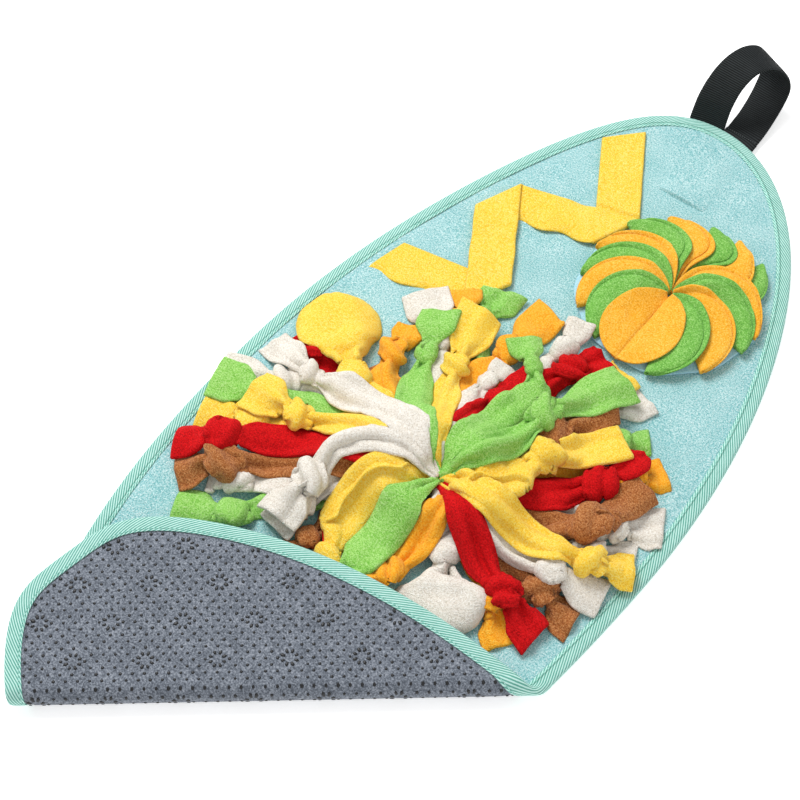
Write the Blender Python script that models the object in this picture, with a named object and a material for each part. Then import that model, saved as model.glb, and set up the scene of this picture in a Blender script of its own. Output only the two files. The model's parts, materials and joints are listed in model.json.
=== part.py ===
"""A fleece snuffle mat: a long oval mat with one end folded over, a pompom of knotted strips,
a fan flower of folded discs, a folded strip and a webbing hanging loop.

Frame: metres, +Z up, the origin under the middle of the oval, on the floor.
+Y runs along the oval to the end with the hanging loop.
"""
import math

import bmesh
import bpy
import numpy as np
from mathutils import Vector

MM = 0.001
GAP = 0.3 * MM

# The oval, before its near end is folded over.
HALF_LENGTH = 400 * MM
HALF_WIDTH = 154 * MM
FAR_POWER = 2.12
NEAR_POWER = 3.68
WIDTH_SHAPE = (0.03, -0.32, 0.19)
BOW_SHAPE = (0.063, 0.060, 0.114)
OUTLINE_POINTS = 88

# The layers, as heights above the underside.
RIM_THICKNESS = 5.9 * MM
FLEECE_TOP = 4.8 * MM
SHEET_INSET = 1.3 * MM
RIM_BAND = 12.5 * MM
RIM_SLOPE_END = 19 * MM
# Each row is a ring: its inset from the oval's edge, the sheet's underside and its top.
BACKING_RINGS = (
    (SHEET_INSET, 1.3 * MM, 2.7 * MM),
    (RIM_BAND, 1.3 * MM, 2.7 * MM),
    (RIM_SLOPE_END, 0.0, 2.0 * MM),
)
FLEECE_RINGS = (
    (SHEET_INSET, 3.0 * MM, 4.6 * MM),
    (RIM_BAND, 3.0 * MM, 4.6 * MM),
    (RIM_SLOPE_END, 2.3 * MM, FLEECE_TOP),
)
TAPE_WIDTH = 11.5 * MM
TAPE_THICKNESS = 1.0 * MM
TAPE_CORNER = 0.6 * MM

# The fold that turns the near end back over the mat.
FOLD_DISTANCE = 187.8 * MM
FOLD_BEARING = math.radians(39.7)
FOLD_RADIUS = 10.5 * MM
FOLD_NEUTRAL = 3.0 * MM
FLAP_TILT = math.radians(4.5)
FOLD_FACETS = 10
PANEL_CUT = 70 * MM

# The hanging loop, a strap whose two ends sit side by side at the rim.
STRAP_WIDTH = 29 * MM
STRAP_THICKNESS = 1.8 * MM
STRAP_STEPS = 30
STRAP_END_Y = HALF_LENGTH + GAP
# Each row is a point of the strap's middle line: x, y and z.
STRAP_ROUTE = (
    (-10.5 * MM, STRAP_END_Y, 3.2 * MM),
    (-10.5 * MM, STRAP_END_Y + 3 * MM, 12 * MM),
    (-10.0 * MM, STRAP_END_Y + 7 * MM, 27 * MM),
    (-8.0 * MM, STRAP_END_Y + 15 * MM, 42 * MM),
    (-5.0 * MM, STRAP_END_Y + 27 * MM, 52 * MM),
    (-1.0 * MM, STRAP_END_Y + 41 * MM, 53 * MM),
    (3.0 * MM, STRAP_END_Y + 52 * MM, 46 * MM),
    (7.0 * MM, STRAP_END_Y + 58 * MM, 33 * MM),
    (10.5 * MM, STRAP_END_Y + 55 * MM, 20 * MM),
    (14.0 * MM, STRAP_END_Y + 43 * MM, 11 * MM),
    (17.0 * MM, STRAP_END_Y + 27 * MM, 7.5 * MM),
    (19.0 * MM, STRAP_END_Y + 12 * MM, 5.5 * MM),
    (19.5 * MM, STRAP_END_Y, 3.2 * MM),
)

# The folded strip that lies in a zigzag: its corners, and the way each corner folds.
ZIGZAG_CORNERS = (
    (-60 * MM, 339 * MM),
    (-12 * MM, 257 * MM),
    (-103.5 * MM, 229.5 * MM),
    (-55 * MM, 143 * MM),
    (-138 * MM, 127 * MM),
)
ZIGZAG_SENSES = (1, -1, -1)
ZIGZAG_WIDTH = 34 * MM
ZIGZAG_THICKNESS = 2.0 * MM
ZIGZAG_RADIUS = 2.3 * MM
ZIGZAG_FACETS = 4
RAMP_MARGIN = 26 * MM

# The flower: discs folded in half, laid as two fans on a round base.
FLOWER_CENTRE = (61.2 * MM, 227.6 * MM)
FLOWER_BASE_RADIUS = 70 * MM
FLOWER_BASE_THICKNESS = 1.8 * MM
DISC_SIZE = 72.5 * MM
DISC_THICKNESS = 1.7 * MM
DISC_SLIT = 0.4 * MM
FAN_PITCH = math.radians(26)
FAN_STEP = 4.9 * MM
FAN_PINCH = 0.6
FAN_ROOT = 7 * MM
FAN_FULL_HEIGHT = 25 * MM
FAN_SPANS = 3
# Each row is a folded disc: name, colour, its hinge's bearing, the way it opens and its widest angle.
FAN_LEAVES = (
    ("leaf_left_1", "green", 252, -1, 90),
    ("leaf_left_2", "orange", 227, -1, 90),
    ("leaf_left_3", "green", 201, -1, 90),
    ("leaf_left_4", "orange", 176, -1, 90),
    ("leaf_left_5", "green", 151, -1, 80),
    ("leaf_left_6", "orange", 125, -1, 65),
    ("leaf_left_7", "green", 100, -1, 45),
    ("leaf_left_8", "orange", 75, -1, 23),
    ("leaf_right_1", "green", 296, 1, 90),
    ("leaf_right_2", "orange", 321, 1, 70),
    ("leaf_right_3", "green", 346, 1, 45),
    ("leaf_right_4", "orange", 9, 1, 22),
    ("leaf_back", "green", 50, -1, 17),
)
OPEN_DISC_BEARING = 279
OPEN_DISC_RIGHT_STEP = math.radians(17)

# The pompom: bundles of strips, each bundle sewn through one small round head.
POMPOM_CENTRE = (30.5 * MM, -25.5 * MM)
HEAD_RADIUS = 8 * MM
HEAD_THICKNESS = 1.6 * MM
ROOT_HEIGHT = 1.2 * MM
ROOT_WIDTH = 6 * MM
ROOT_STATIONS = (3 * MM, 9 * MM, 16 * MM)
PILE_CELL = 1.5 * MM
PILE_GAP = 0.6 * MM
# Each row is a strip: bundle, knot distance and bearing, tail distance and bearing (millimetres and
# degrees about the centre), belly width, belly height, knot width, tail width.
STRIPS = (
    ("green_1", 149, 225, 190, 221, 24, 5, 26, 26),
    ("green_1", 157, 116, 186, 112, 22, 5, 22, 30),
    ("green_1", 141, 57, 163, 55, 20, 5, 22, 20),
    ("white_1", 147, 214, 168, 213, 22, 5, 24, 22),
    ("white_1", 155, 91, 178, 92, 20, 5, 24, 22),
    ("white_1", 138, 65, 177, 68, 24, 5, 24, 30),
    ("white_1", 117, 14, 155, 16, 24, 5, 26, 28),
    ("orange_1", 154, 122, 183, 120, 20, 5, 22, 22),
    ("orange_1", 146, 43, 166, 46, 24, 5, 24, 26),
    ("orange_1", 92, 331, 126, 330, 24, 6, 26, 28),
    ("red_2", 158, 166, 174, 165, 20, 5, 22, 20),
    ("red_2", 112, 99, 128, 100, 20, 5, 18, 16),
    ("white_2", 101, 229, 118, 233, 24, 5, 24, 26),
    ("white_2", 146, 179, 196, 183, 24, 5, 24, 26),
    ("white_2", 130, 128, 178, 130, 24, 5, 24, 28),
    ("white_2", 126, 24, 160, 28, 22, 5, 24, 30),
    ("yellow_2", 152, 196, 190, 195, 26, 6, 28, 30),
    ("yellow_2", 166, 76, 182, 76, 18, 5, 18, 18),
    ("green_2", 152, 186, 194, 187, 24, 6, 26, 28),
    ("brown_3", 98, 66, 148, 66, 24, 6, 26, 26),
    ("brown_3", 156, 212, 188, 214, 26, 6, 30, 26),
    ("brown_3", 114, 20, 153, 34, 28, 6, 32, 28),
    ("brown_3", 113, 349, 150, 350, 28, 6, 30, 30),
    ("red_3", 162, 205, 196, 206, 28, 7, 30, 22),
    ("red_3", 146, 83, 170, 81, 24, 6, 28, 26),
    ("red_3", 117, 41, 151, 48, 28, 7, 32, 28),
    ("orange_3", 126, 144, 147, 139, 26, 7, 26, 22),
    ("orange_3", 137, 105, 181, 100, 30, 7, 28, 30),
    ("orange_3", 82, 282, 96, 281, 28, 7, 26, 22),
    ("yellow_4", 114, 162, 190, 154, 30, 7, 26, 54),
    ("yellow_4", 117, 189, 160, 187, 28, 7, 26, 32),
    ("yellow_4", 86, 232, 100, 256, 30, 8, 26, 28),
    ("white_4", 109, 356, 148, 1, 22, 8, 28, 28),
    ("white_4", 56, 313, 96, 308, 26, 8, 30, 52),
    ("red_5", 104, 335, 144, 337, 30, 10, 34, 30),
    ("yellow_5", 103, 123, 158, 118, 26, 10, 28, 34),
    ("yellow_5", 72, 51, 138, 52, 32, 10, 32, 28),
    ("yellow_5", 126, 3, 152, 5, 26, 10, 32, 22),
    ("green_5", 108, 135, 148, 129, 32, 10, 28, 30),
    ("green_5", 113, 87, 150, 97, 30, 10, 32, 28),
    ("green_5", 98, 74, 162, 71, 28, 9, 30, 30),
    ("green_5", 58, 268, 90, 266, 30, 8, 30, 30),
    ("white_5", 91, 222, 124, 234, 26, 9, 28, 28),
    ("white_5", 129, 175, 178, 174, 26, 9, 34, 30),
)
KNOT_HEIGHT = 13 * MM
TAIL_HEIGHT = 4 * MM

# Colour, roughness and metallic value of each cloth.
CLOTHS = {
    "aqua_fleece": ((0.35, 0.67, 0.69, 1.0), 0.95, 0.0),
    "grey_felt": ((0.20, 0.22, 0.26, 1.0), 0.95, 0.0),
    "mint_tape": ((0.27, 0.68, 0.58, 1.0), 0.80, 0.0),
    "black_webbing": ((0.012, 0.013, 0.014, 1.0), 0.60, 0.0),
    "pale_felt": ((0.46, 0.74, 0.86, 1.0), 0.95, 0.0),
    "green": ((0.18, 0.53, 0.07, 1.0), 0.95, 0.0),
    "orange": ((0.96, 0.39, 0.02, 1.0), 0.95, 0.0),
    "yellow": ((0.98, 0.65, 0.05, 1.0), 0.95, 0.0),
    "white": ((0.87, 0.86, 0.81, 1.0), 0.95, 0.0),
    "red": ((0.54, 0.01, 0.01, 1.0), 0.95, 0.0),
    "brown": ((0.38, 0.14, 0.05, 1.0), 0.95, 0.0),
}


def clear_scene():
    """Remove what a new Blender scene holds."""
    for item in list(bpy.data.objects):
        bpy.data.objects.remove(item, do_unlink=True)


def make_cloth(name):
    """A material with the cloth's colour and dull surface."""
    colour, roughness, metallic = CLOTHS[name]
    material = bpy.data.materials.new(name)
    material.use_nodes = True
    shader = material.node_tree.nodes["Principled BSDF"]
    shader.inputs["Base Color"].default_value = colour
    shader.inputs["Roughness"].default_value = roughness
    shader.inputs["Metallic"].default_value = metallic
    material.diffuse_color = colour
    return material


def add_object(name, bm, cloth):
    """Close the mesh code's result into one object of triangles with its faces pointing out."""
    bmesh.ops.remove_doubles(bm, verts=bm.verts, dist=0.002 * MM)
    bmesh.ops.triangulate(bm, faces=bm.faces)
    bmesh.ops.recalc_face_normals(bm, faces=bm.faces)
    if bm.calc_volume(signed=True) < 0:
        bmesh.ops.reverse_faces(bm, faces=bm.faces)
    mesh = bpy.data.meshes.new(name)
    bm.to_mesh(mesh)
    bm.free()
    mesh.materials.append(bpy.data.materials.get(cloth) or make_cloth(cloth))
    item = bpy.data.objects.new(name, mesh)
    bpy.context.scene.collection.objects.link(item)
    return item


def loft(bm, loops, wrap=False):
    """Join loops of points, in order, with faces; cap both ends unless the loops wrap round."""
    rows = [[bm.verts.new(point) for point in loop] for loop in loops]
    pairs = list(zip(rows, rows[1:]))
    if wrap:
        pairs.append((rows[-1], rows[0]))
    for low, high in pairs:
        for i in range(len(low)):
            j = (i + 1) % len(low)
            bm.faces.new((low[i], low[j], high[j], high[i]))
    if not wrap:
        bm.faces.new(rows[0])
        bm.faces.new(rows[-1])


# ---- The oval and its fold ----

def oval_point(angle):
    """A point of the oval's edge; the two ends are of different fullness, and the oval bows."""
    s, c = math.sin(angle), math.cos(angle)
    power = FAR_POWER if s > 0 else NEAR_POWER
    along = math.copysign(abs(s) ** (2 / power), s)
    across = math.copysign(abs(c) ** (2 / power), c)
    linear, square, cube = WIDTH_SHAPE
    width = 1 + linear * along + square * (along * along - 0.5) + cube * along ** 3
    bow = (BOW_SHAPE[0] + BOW_SHAPE[1] * along + BOW_SHAPE[2] * along * along) * (1 - along * along)
    return HALF_WIDTH * (across * width + bow), HALF_LENGTH * along


def oval_ring(inset, count=OUTLINE_POINTS):
    """Evenly spaced points of the oval's edge, moved in by the inset."""
    steps = 2880
    dense = np.array([oval_point(2 * math.pi * i / steps) for i in range(steps)])
    closed = np.vstack([dense, dense[:1]])
    lengths = np.concatenate([[0], np.cumsum(np.linalg.norm(np.diff(closed, axis=0), axis=1))])
    marks = np.arange(count) / count * lengths[-1]
    points = np.column_stack([np.interp(marks, lengths, closed[:, k]) for k in (0, 1)])
    tangent = np.roll(points, -1, axis=0) - np.roll(points, 1, axis=0)
    tangent /= np.linalg.norm(tangent, axis=1)[:, None]
    inward = np.column_stack([-tangent[:, 1], tangent[:, 0]])
    return points + inward * inset


def roll_station(s, height, radius, neutral, turn):
    """Where a point at distance s past a fold's start comes to lie: along the sheet, and up."""
    curl = neutral * turn
    angle = min(s / neutral, turn)
    past = max(s - curl, 0)
    along = (radius - height) * math.sin(angle) + past * math.cos(turn)
    up = radius - (radius - height) * math.cos(angle) + past * math.sin(turn)
    return along, up


def rolled(s, height, radius, neutral, turn, facets, rigid=False):
    """The same with the curl built of flat facets, so that the layers stay parallel."""
    curl = neutral * turn
    if rigid:
        along, up = roll_station(curl, height, radius, neutral, turn)
        return along + (s - curl) * math.cos(turn), up + (s - curl) * math.sin(turn)
    if s <= 0:
        return s, height
    if s >= curl:
        return roll_station(s, height, radius, neutral, turn)
    step = curl / facets
    first = min(int(s / step), facets - 1)
    share = s / step - first
    low = roll_station(first * step, height, radius, neutral, turn)
    high = roll_station((first + 1) * step, height, radius, neutral, turn)
    return low[0] + (high[0] - low[0]) * share, low[1] + (high[1] - low[1]) * share


FOLD_TURN = math.pi - FLAP_TILT
FOLD_AXIS_RADIUS = FOLD_RADIUS - FOLD_NEUTRAL
FOLD_NORMAL = (math.sin(FOLD_BEARING), -math.cos(FOLD_BEARING))


def fold_mat(point):
    """Carry a point of the flat mat to its place in the folded one."""
    x, y, height = point
    s = x * FOLD_NORMAL[0] + y * FOLD_NORMAL[1] - FOLD_DISTANCE
    along, up = rolled(s, height, FOLD_RADIUS, FOLD_AXIS_RADIUS, FOLD_TURN, FOLD_FACETS)
    return x + (along - s) * FOLD_NORMAL[0], y + (along - s) * FOLD_NORMAL[1], up


def cut_mesh(bm, origin, normal):
    """Cut every face that a plane crosses, and keep both sides."""
    everything = bm.verts[:] + bm.edges[:] + bm.faces[:]
    bmesh.ops.bisect_plane(bm, geom=everything, dist=0.001 * MM, plane_co=origin, plane_no=normal)


def bend_at_fold(bm, panels):
    """Cut a flat mesh along the fold's facets, and across its panels, and fold it."""
    normal = Vector((FOLD_NORMAL[0], FOLD_NORMAL[1], 0))
    side = Vector((-FOLD_NORMAL[1], FOLD_NORMAL[0], 0))
    curl = FOLD_AXIS_RADIUS * FOLD_TURN
    for i in range(FOLD_FACETS + 1):
        cut_mesh(bm, normal * (FOLD_DISTANCE + curl * i / FOLD_FACETS), normal)
    if panels:
        for i in range(-4, 3):
            cut_mesh(bm, normal * (i * PANEL_CUT), normal)
        for i in range(-3, 4):
            cut_mesh(bm, side * (i * PANEL_CUT), side)
    for vert in bm.verts:
        vert.co = fold_mat(vert.co)


def make_sheet(name, rings, cloth):
    """One cloth of the mat, with its rim pressed thin under the binding."""
    bm = bmesh.new()
    loops = [[(x, y, low) for x, y in oval_ring(inset)] for inset, low, _ in reversed(rings)]
    loops += [[(x, y, high) for x, y in oval_ring(inset)] for inset, _, high in rings]
    loft(bm, loops)
    bend_at_fold(bm, panels=True)
    return add_object(name, bm, cloth)


def make_binding():
    """The tape that wraps the rim: a channel open to the middle of the mat."""
    inner, outer = TAPE_THICKNESS, RIM_THICKNESS - TAPE_THICKNESS
    section = (
        (TAPE_WIDTH, 0.0), (TAPE_CORNER, 0.0), (0.0, TAPE_CORNER),
        (0.0, RIM_THICKNESS - TAPE_CORNER), (TAPE_CORNER, RIM_THICKNESS),
        (TAPE_WIDTH, RIM_THICKNESS), (TAPE_WIDTH, outer), (TAPE_THICKNESS, outer),
        (TAPE_THICKNESS, inner), (TAPE_WIDTH, inner),
    )
    rings = [oval_ring(inset) for inset, _ in section]
    bm = bmesh.new()
    loops = []
    for i in range(OUTLINE_POINTS):
        loops.append([(ring[i][0], ring[i][1], height) for ring, (_, height) in zip(rings, section)])
    loft(bm, loops, wrap=True)
    bend_at_fold(bm, panels=False)
    return add_object("binding", bm, "mint_tape")


# ---- The hanging loop ----

def smooth_route(route, steps):
    """Points of a smooth curve through the rows of a route."""
    points = [Vector(row) for row in route]
    points = [points[0] * 2 - points[1]] + points + [points[-1] * 2 - points[-2]]
    result = []
    spans = len(route) - 1
    for i in range(steps + 1):
        place = i / steps * spans
        k = min(int(place), spans - 1)
        t = place - k
        a, b, c, d = points[k:k + 4]
        result.append(0.5 * (2 * b + (c - a) * t + (2 * a - 5 * b + 4 * c - d) * t ** 2
                             + (3 * b - a - 3 * c + d) * t ** 3))
    return result


def make_hang_loop():
    """The strap, its width kept along X."""
    middle = smooth_route(STRAP_ROUTE, STRAP_STEPS)
    across = Vector((STRAP_WIDTH / 2, 0, 0))
    loops = []
    for i, point in enumerate(middle):
        ahead = middle[min(i + 1, STRAP_STEPS)] - middle[max(i - 1, 0)]
        thick = Vector((0, -ahead.z, ahead.y)).normalized() * STRAP_THICKNESS / 2
        corners = [point - across - thick, point + across - thick, point + across + thick,
                   point - across + thick]
        loops.append([(v.x, max(v.y, STRAP_END_Y), v.z) for v in corners])
    bm = bmesh.new()
    loft(bm, loops)
    return add_object("hang_loop", bm, "black_webbing")


# ---- The zigzag strip ----

def zigzag_folds():
    """Each fold of the flat strip: its place along the strip, its direction and its sense."""
    corners = [Vector(row) for row in ZIGZAG_CORNERS]
    legs = [b - a for a, b in zip(corners, corners[1:])]
    folds = []
    place = 0.0
    for i, sense in enumerate(ZIGZAG_SENSES):
        place += legs[i].length
        into = math.atan2(legs[i].y, legs[i].x)
        turn = (math.atan2(legs[i + 1].y, legs[i + 1].x) - into + math.pi) % (2 * math.pi) - math.pi
        lean = turn / 2 if i % 2 == 0 else -turn / 2
        folds.append((place, lean, sense))
    return folds, place + legs[-1].length, legs[0]


def fold_strip(point, fold, rigid):
    """Fold the flat strip's point about one fold line, up for sense 1 and down for sense -1."""
    u, v, height = point
    place, lean, sense = fold
    normal = (-math.sin(lean), math.cos(lean))
    if normal[0] < 0:
        normal = (-normal[0], -normal[1])
    s = (u - place) * normal[0] + v * normal[1]
    level = height if sense > 0 else ZIGZAG_THICKNESS - height
    neutral = ZIGZAG_RADIUS - ZIGZAG_THICKNESS / 2
    along, up = rolled(s, level, ZIGZAG_RADIUS, neutral, math.pi, ZIGZAG_FACETS, rigid)
    height = up if sense > 0 else ZIGZAG_THICKNESS - up
    return (u + (along - s) * normal[0], v + (along - s) * normal[1], height), s


def make_zigzag():
    """One straight strip folded at three corners, so that it lies in a zigzag."""
    folds, length, first_leg = zigzag_folds()
    half, deep = ZIGZAG_WIDTH / 2, ZIGZAG_THICKNESS
    bm = bmesh.new()
    loft(bm, [[(u, -half, 0), (u, half, 0), (u, half, deep), (u, -half, deep)] for u in (0, length)])
    curl = (ZIGZAG_RADIUS - deep / 2) * math.pi
    for place, lean, _ in folds:
        normal = Vector((-math.sin(lean), math.cos(lean), 0))
        normal *= math.copysign(1, normal.x)
        for i in range(ZIGZAG_FACETS + 1):
            cut_mesh(bm, Vector((place, 0, 0)) + normal * curl * i / ZIGZAG_FACETS, normal)
    ramp = (folds[0][0] + RAMP_MARGIN, folds[1][0] - RAMP_MARGIN)
    for u in ramp:
        cut_mesh(bm, Vector((u, 0, 0)), Vector((1, 0, 0)))
    step = 2 * ZIGZAG_RADIUS - deep
    start = Vector(ZIGZAG_CORNERS[0])
    ahead = first_leg.normalized()
    left = Vector((-ahead.y, ahead.x))
    for vert in bm.verts:
        flat_u = vert.co.x
        point = tuple(vert.co)
        passed = False
        for fold in reversed(folds):
            moved, s = fold_strip(point, fold, passed)
            if passed or s > 0:
                point = moved
                passed = True
        down = step * min(max((flat_u - ramp[0]) / (ramp[1] - ramp[0]), 0), 1)
        place = start + ahead * point[0] + left * point[1]
        vert.co = (place.x, place.y, FLEECE_TOP + GAP + point[2] - down)
    return add_object("zigzag_strip", bm, "yellow")


# ---- The flower ----

FLOWER_Z = FLEECE_TOP + GAP
LEAF_Z = FLOWER_Z + FLOWER_BASE_THICKNESS + GAP


def pinch(radius):
    """How much of its height a leaf keeps at a distance from the flower's middle."""
    share = min((radius - FAN_ROOT) / (FAN_FULL_HEIGHT - FAN_ROOT), 1)
    return FAN_PINCH + (1 - FAN_PINCH) * share


def leaf_radii():
    """The distances at which a leaf has a section."""
    return [FAN_ROOT, 13 * MM, 21 * MM, 31 * MM, 41 * MM, 51 * MM, 61 * MM, 68 * MM, DISC_SIZE - 0.6 * MM]


def flower_point(radius, bearing, height):
    """A point about the flower's middle, with its height pinched in near the middle."""
    return (FLOWER_CENTRE[0] + radius * math.cos(bearing), FLOWER_CENTRE[1] + radius * math.sin(bearing),
            LEAF_Z + height * pinch(radius))


def make_flower_base():
    """The round of pale felt that the discs are sewn on."""
    bm = bmesh.new()
    bmesh.ops.create_cone(bm, cap_ends=True, segments=36, radius1=FLOWER_BASE_RADIUS,
                          radius2=FLOWER_BASE_RADIUS, depth=FLOWER_BASE_THICKNESS)
    middle = (*FLOWER_CENTRE, FLOWER_Z + FLOWER_BASE_THICKNESS / 2)
    bmesh.ops.translate(bm, verts=bm.verts, vec=middle)
    return add_object("flower_base", bm, "pale_felt")


def make_leaf(name, colour, bearing, way, widest):
    """A disc folded in half: two layers that rise from the hinge over the next leaves."""
    hinge = math.radians(bearing)
    low, high = DISC_THICKNESS, DISC_THICKNESS + DISC_SLIT
    loops = []
    for radius in leaf_radii():
        span = min(math.acos(min(radius / DISC_SIZE, 1)), math.radians(widest))
        wall = min(DISC_THICKNESS / radius, 0.4 * span)
        outside = [span * i / FAN_SPANS for i in range(FAN_SPANS + 1)]
        inside = [wall + (span - wall) * i / FAN_SPANS for i in range(FAN_SPANS + 1)]
        rows = [(a, 0.0) for a in outside] + [(a, low) for a in reversed(inside)]
        rows += [(a, high) for a in inside] + [(a, low + high) for a in reversed(outside)]
        loops.append([flower_point(radius, hinge + way * a, FAN_STEP * a / FAN_PITCH + h) for a, h in rows])
    bm = bmesh.new()
    loft(bm, loops)
    return add_object(name, bm, colour)


def open_disc_height(angle):
    """The height of the open disc over the two fans, which start at different angles beside it."""
    if angle < 0:
        return FAN_STEP * -angle / FAN_PITCH
    return FAN_STEP * min(angle / OPEN_DISC_RIGHT_STEP, 1 + (angle - OPEN_DISC_RIGHT_STEP) / FAN_PITCH)


def make_open_disc():
    """The front disc, opened out flat over both fans, with its crease as a valley."""
    hinge = math.radians(OPEN_DISC_BEARING)
    shares = (-1, -0.75, -0.5, -0.25, 0, 0.25, 0.5, 0.75, 1)
    loops = []
    for radius in leaf_radii():
        span = min(math.acos(min(radius / DISC_SIZE, 1)), math.radians(80))
        angles = [span * share for share in shares]
        rows = [(a, 0.0) for a in angles] + [(a, DISC_THICKNESS) for a in reversed(angles)]
        loops.append([flower_point(radius, hinge + a, open_disc_height(a) + h) for a, h in rows])
    bm = bmesh.new()
    loft(bm, loops)
    return add_object("disc_front", bm, "orange")


# ---- The pompom ----

class Pile:
    """A height map of what already lies on the mat, for laying the next strip on top."""

    def __init__(self):
        self.low = np.array([-0.21, -0.36])
        size = np.ceil((np.array([0.25, 0.42]) - self.low) / PILE_CELL).astype(int)
        self.heights = np.full(size, FLEECE_TOP)

    def cell(self, points):
        """The row and column of each point's cell."""
        return tuple(((points[..., k] - self.low[k]) / PILE_CELL).astype(int) for k in (0, 1))

    def at(self, points):
        """The height under each point."""
        return self.heights[self.cell(points)]

    def add(self, points, heights):
        """Raise the map to the given heights, one cell wide round each point."""
        row, column = self.cell(points)
        for i in (-1, 0, 1):
            for j in (-1, 0, 1):
                np.maximum.at(self.heights, (row + i, column + j), heights)

    def add_rim(self):
        """Raise the map to the binding that lies flat round the mat."""
        for inset in np.arange(0, TAPE_WIDTH + PILE_CELL, PILE_CELL):
            ring = oval_ring(inset, 1600)
            flat = ring[ring @ np.array(FOLD_NORMAL) < FOLD_DISTANCE]
            self.add(flat, np.full(len(flat), RIM_THICKNESS))

    def add_object(self, item):
        """Raise the map to an object's faces."""
        for face in item.data.polygons:
            corners = np.array([item.data.vertices[i].co[:] for i in face.vertices])
            longest = max(np.linalg.norm(corners[i] - corners[i - 1]) for i in range(3))
            count = max(int(longest / PILE_CELL), 1)
            weights = [(i / count, j / count) for i in range(count + 1) for j in range(count + 1 - i)]
            spots = np.array([corners[0] + (corners[1] - corners[0]) * a + (corners[2] - corners[0]) * b
                              for a, b in weights])
            self.add(spots[:, :2], spots[:, 2])


def polar(distance, bearing):
    """A plan point about the pompom's centre."""
    angle = math.radians(bearing)
    return np.array(POMPOM_CENTRE) + distance * np.array([math.cos(angle), math.sin(angle)])


def strip_sections(row):
    """The plan place, half width and height of a strip at each of its sections."""
    _, knot, knot_bearing, tail, tail_bearing, belly_width, belly_height, knot_width, tail_width = row
    knot_at, tail_at = polar(knot * MM, knot_bearing), polar(tail * MM, tail_bearing)
    ahead = (tail_at - knot_at) / np.linalg.norm(tail_at - knot_at)
    sections = [(polar(r, knot_bearing), ROOT_WIDTH / 2, ROOT_HEIGHT) for r in ROOT_STATIONS]
    shares = ((26 * MM, 0.45, 0.4), (38 * MM, 0.75, 0.7), (52 * MM, 1.0, 1.0))
    for r, wide, high in shares:
        if r < (knot - 18) * MM:
            sections.append((polar(r, knot_bearing), belly_width / 2 * MM * wide, belly_height * MM * high))
    r = 68 * MM
    while r < (knot - 24) * MM:
        sections.append((polar(r, knot_bearing), belly_width / 2 * MM, belly_height * MM))
        r += 16 * MM
    sections.append((polar((knot - 14) * MM, knot_bearing), knot_width * 0.36 * MM, belly_height * MM))
    sections.append((polar((knot - 5) * MM, knot_bearing), knot_width / 2 * MM, KNOT_HEIGHT))
    sections.append((knot_at + ahead * 5 * MM, knot_width / 2 * MM, KNOT_HEIGHT * 0.9))
    room = np.linalg.norm(tail_at - knot_at)
    if room > 22 * MM:
        sections.append((knot_at + ahead * 13 * MM, tail_width * 0.32 * MM, KNOT_HEIGHT * 0.5))
    sections.append((tail_at, tail_width / 2 * MM, TAIL_HEIGHT))
    return sections


def strip_sides(sections):
    """The middle and the two side points of each section, in plan."""
    middle = np.array([s[0] for s in sections])
    half = np.array([s[1] for s in sections])
    ahead = np.gradient(middle, axis=0)
    ahead /= np.linalg.norm(ahead, axis=1)[:, None]
    side = np.column_stack([-ahead[:, 1], ahead[:, 0]]) * half[:, None]
    return middle, middle + side, middle - side


def strip_samples(sections):
    """Plan points over the strip, each with its section, its share to the next and its side share."""
    middle, left, right = strip_sides(sections)
    heights = np.array([s[2] for s in sections])
    spots, first, share, rise, full = [], [], [], [], []
    for i in range(len(sections) - 1):
        for t in np.linspace(0, 1, 9):
            centre = middle[i] + (middle[i + 1] - middle[i]) * t
            height = heights[i] + (heights[i + 1] - heights[i]) * t
            for side in (left, right):
                edge = side[i] + (side[i + 1] - side[i]) * t
                for v in np.linspace(0, 1, 7):
                    spots.append(centre + (edge - centre) * v)
                    first.append(i)
                    share.append(t)
                    rise.append(v * height / 2)
                    full.append(height)
    return (np.array(spots), np.array(first), np.array(share), np.array(rise), np.array(full))


def lay_strip(pile, sections, head_z):
    """The height of each section's underside, so that the strip lies on the pile."""
    spots, first, share, rise, _ = strip_samples(sections)
    fixed = len(ROOT_STATIONS)
    distance = np.array([np.linalg.norm(s[0] - POMPOM_CENTRE) for s in sections])
    fall = np.clip((distance - distance[fixed - 1]) / (distance[-1] - distance[fixed - 1]), 0, 1)
    level = head_z + (FLEECE_TOP + PILE_GAP - head_z) * fall
    need = pile.at(spots) + PILE_GAP - rise
    tested = (first >= fixed) | ((first == fixed - 1) & (share > 0.35))
    need = np.where(tested, need, -1.0)
    least = level.copy()
    for i in range(fixed, len(sections)):
        near = (first == i) | (first == i - 1)
        level[i] = max(least[i], need[near].max())
    for _ in range(6):
        for i in range(fixed, len(sections)):
            before = (first == i - 1) & (share > 0.02)
            bound = ((need - level[i - 1] * (1 - share)) / np.maximum(share, 0.02))[before].max()
            after = (first == i) & (share < 0.98)
            if after.any():
                rest = (need - level[min(i + 1, len(level) - 1)] * share) / np.maximum(1 - share, 0.02)
                bound = max(bound, rest[after].max())
            level[i] = max(least[i], min(level[i], bound))
    return level


def add_head(bm, bottom):
    """The small round head in which a bundle's roots are sewn together."""
    spots = [polar(HEAD_RADIUS, 30 * i) for i in range(12)]
    loft(bm, [[(x, y, z) for x, y in spots] for z in (bottom, bottom + HEAD_THICKNESS)])


def add_strip(bm, sections, level):
    """The strip as a closed four-sided body."""
    middle, left, right = strip_sides(sections)
    loops = []
    for i, (_, _, height) in enumerate(sections):
        half_up = level[i] + height / 2
        loops.append([(*middle[i], level[i]), (*left[i], half_up), (*middle[i], level[i] + height),
                      (*right[i], half_up)])
    loft(bm, loops)


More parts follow.
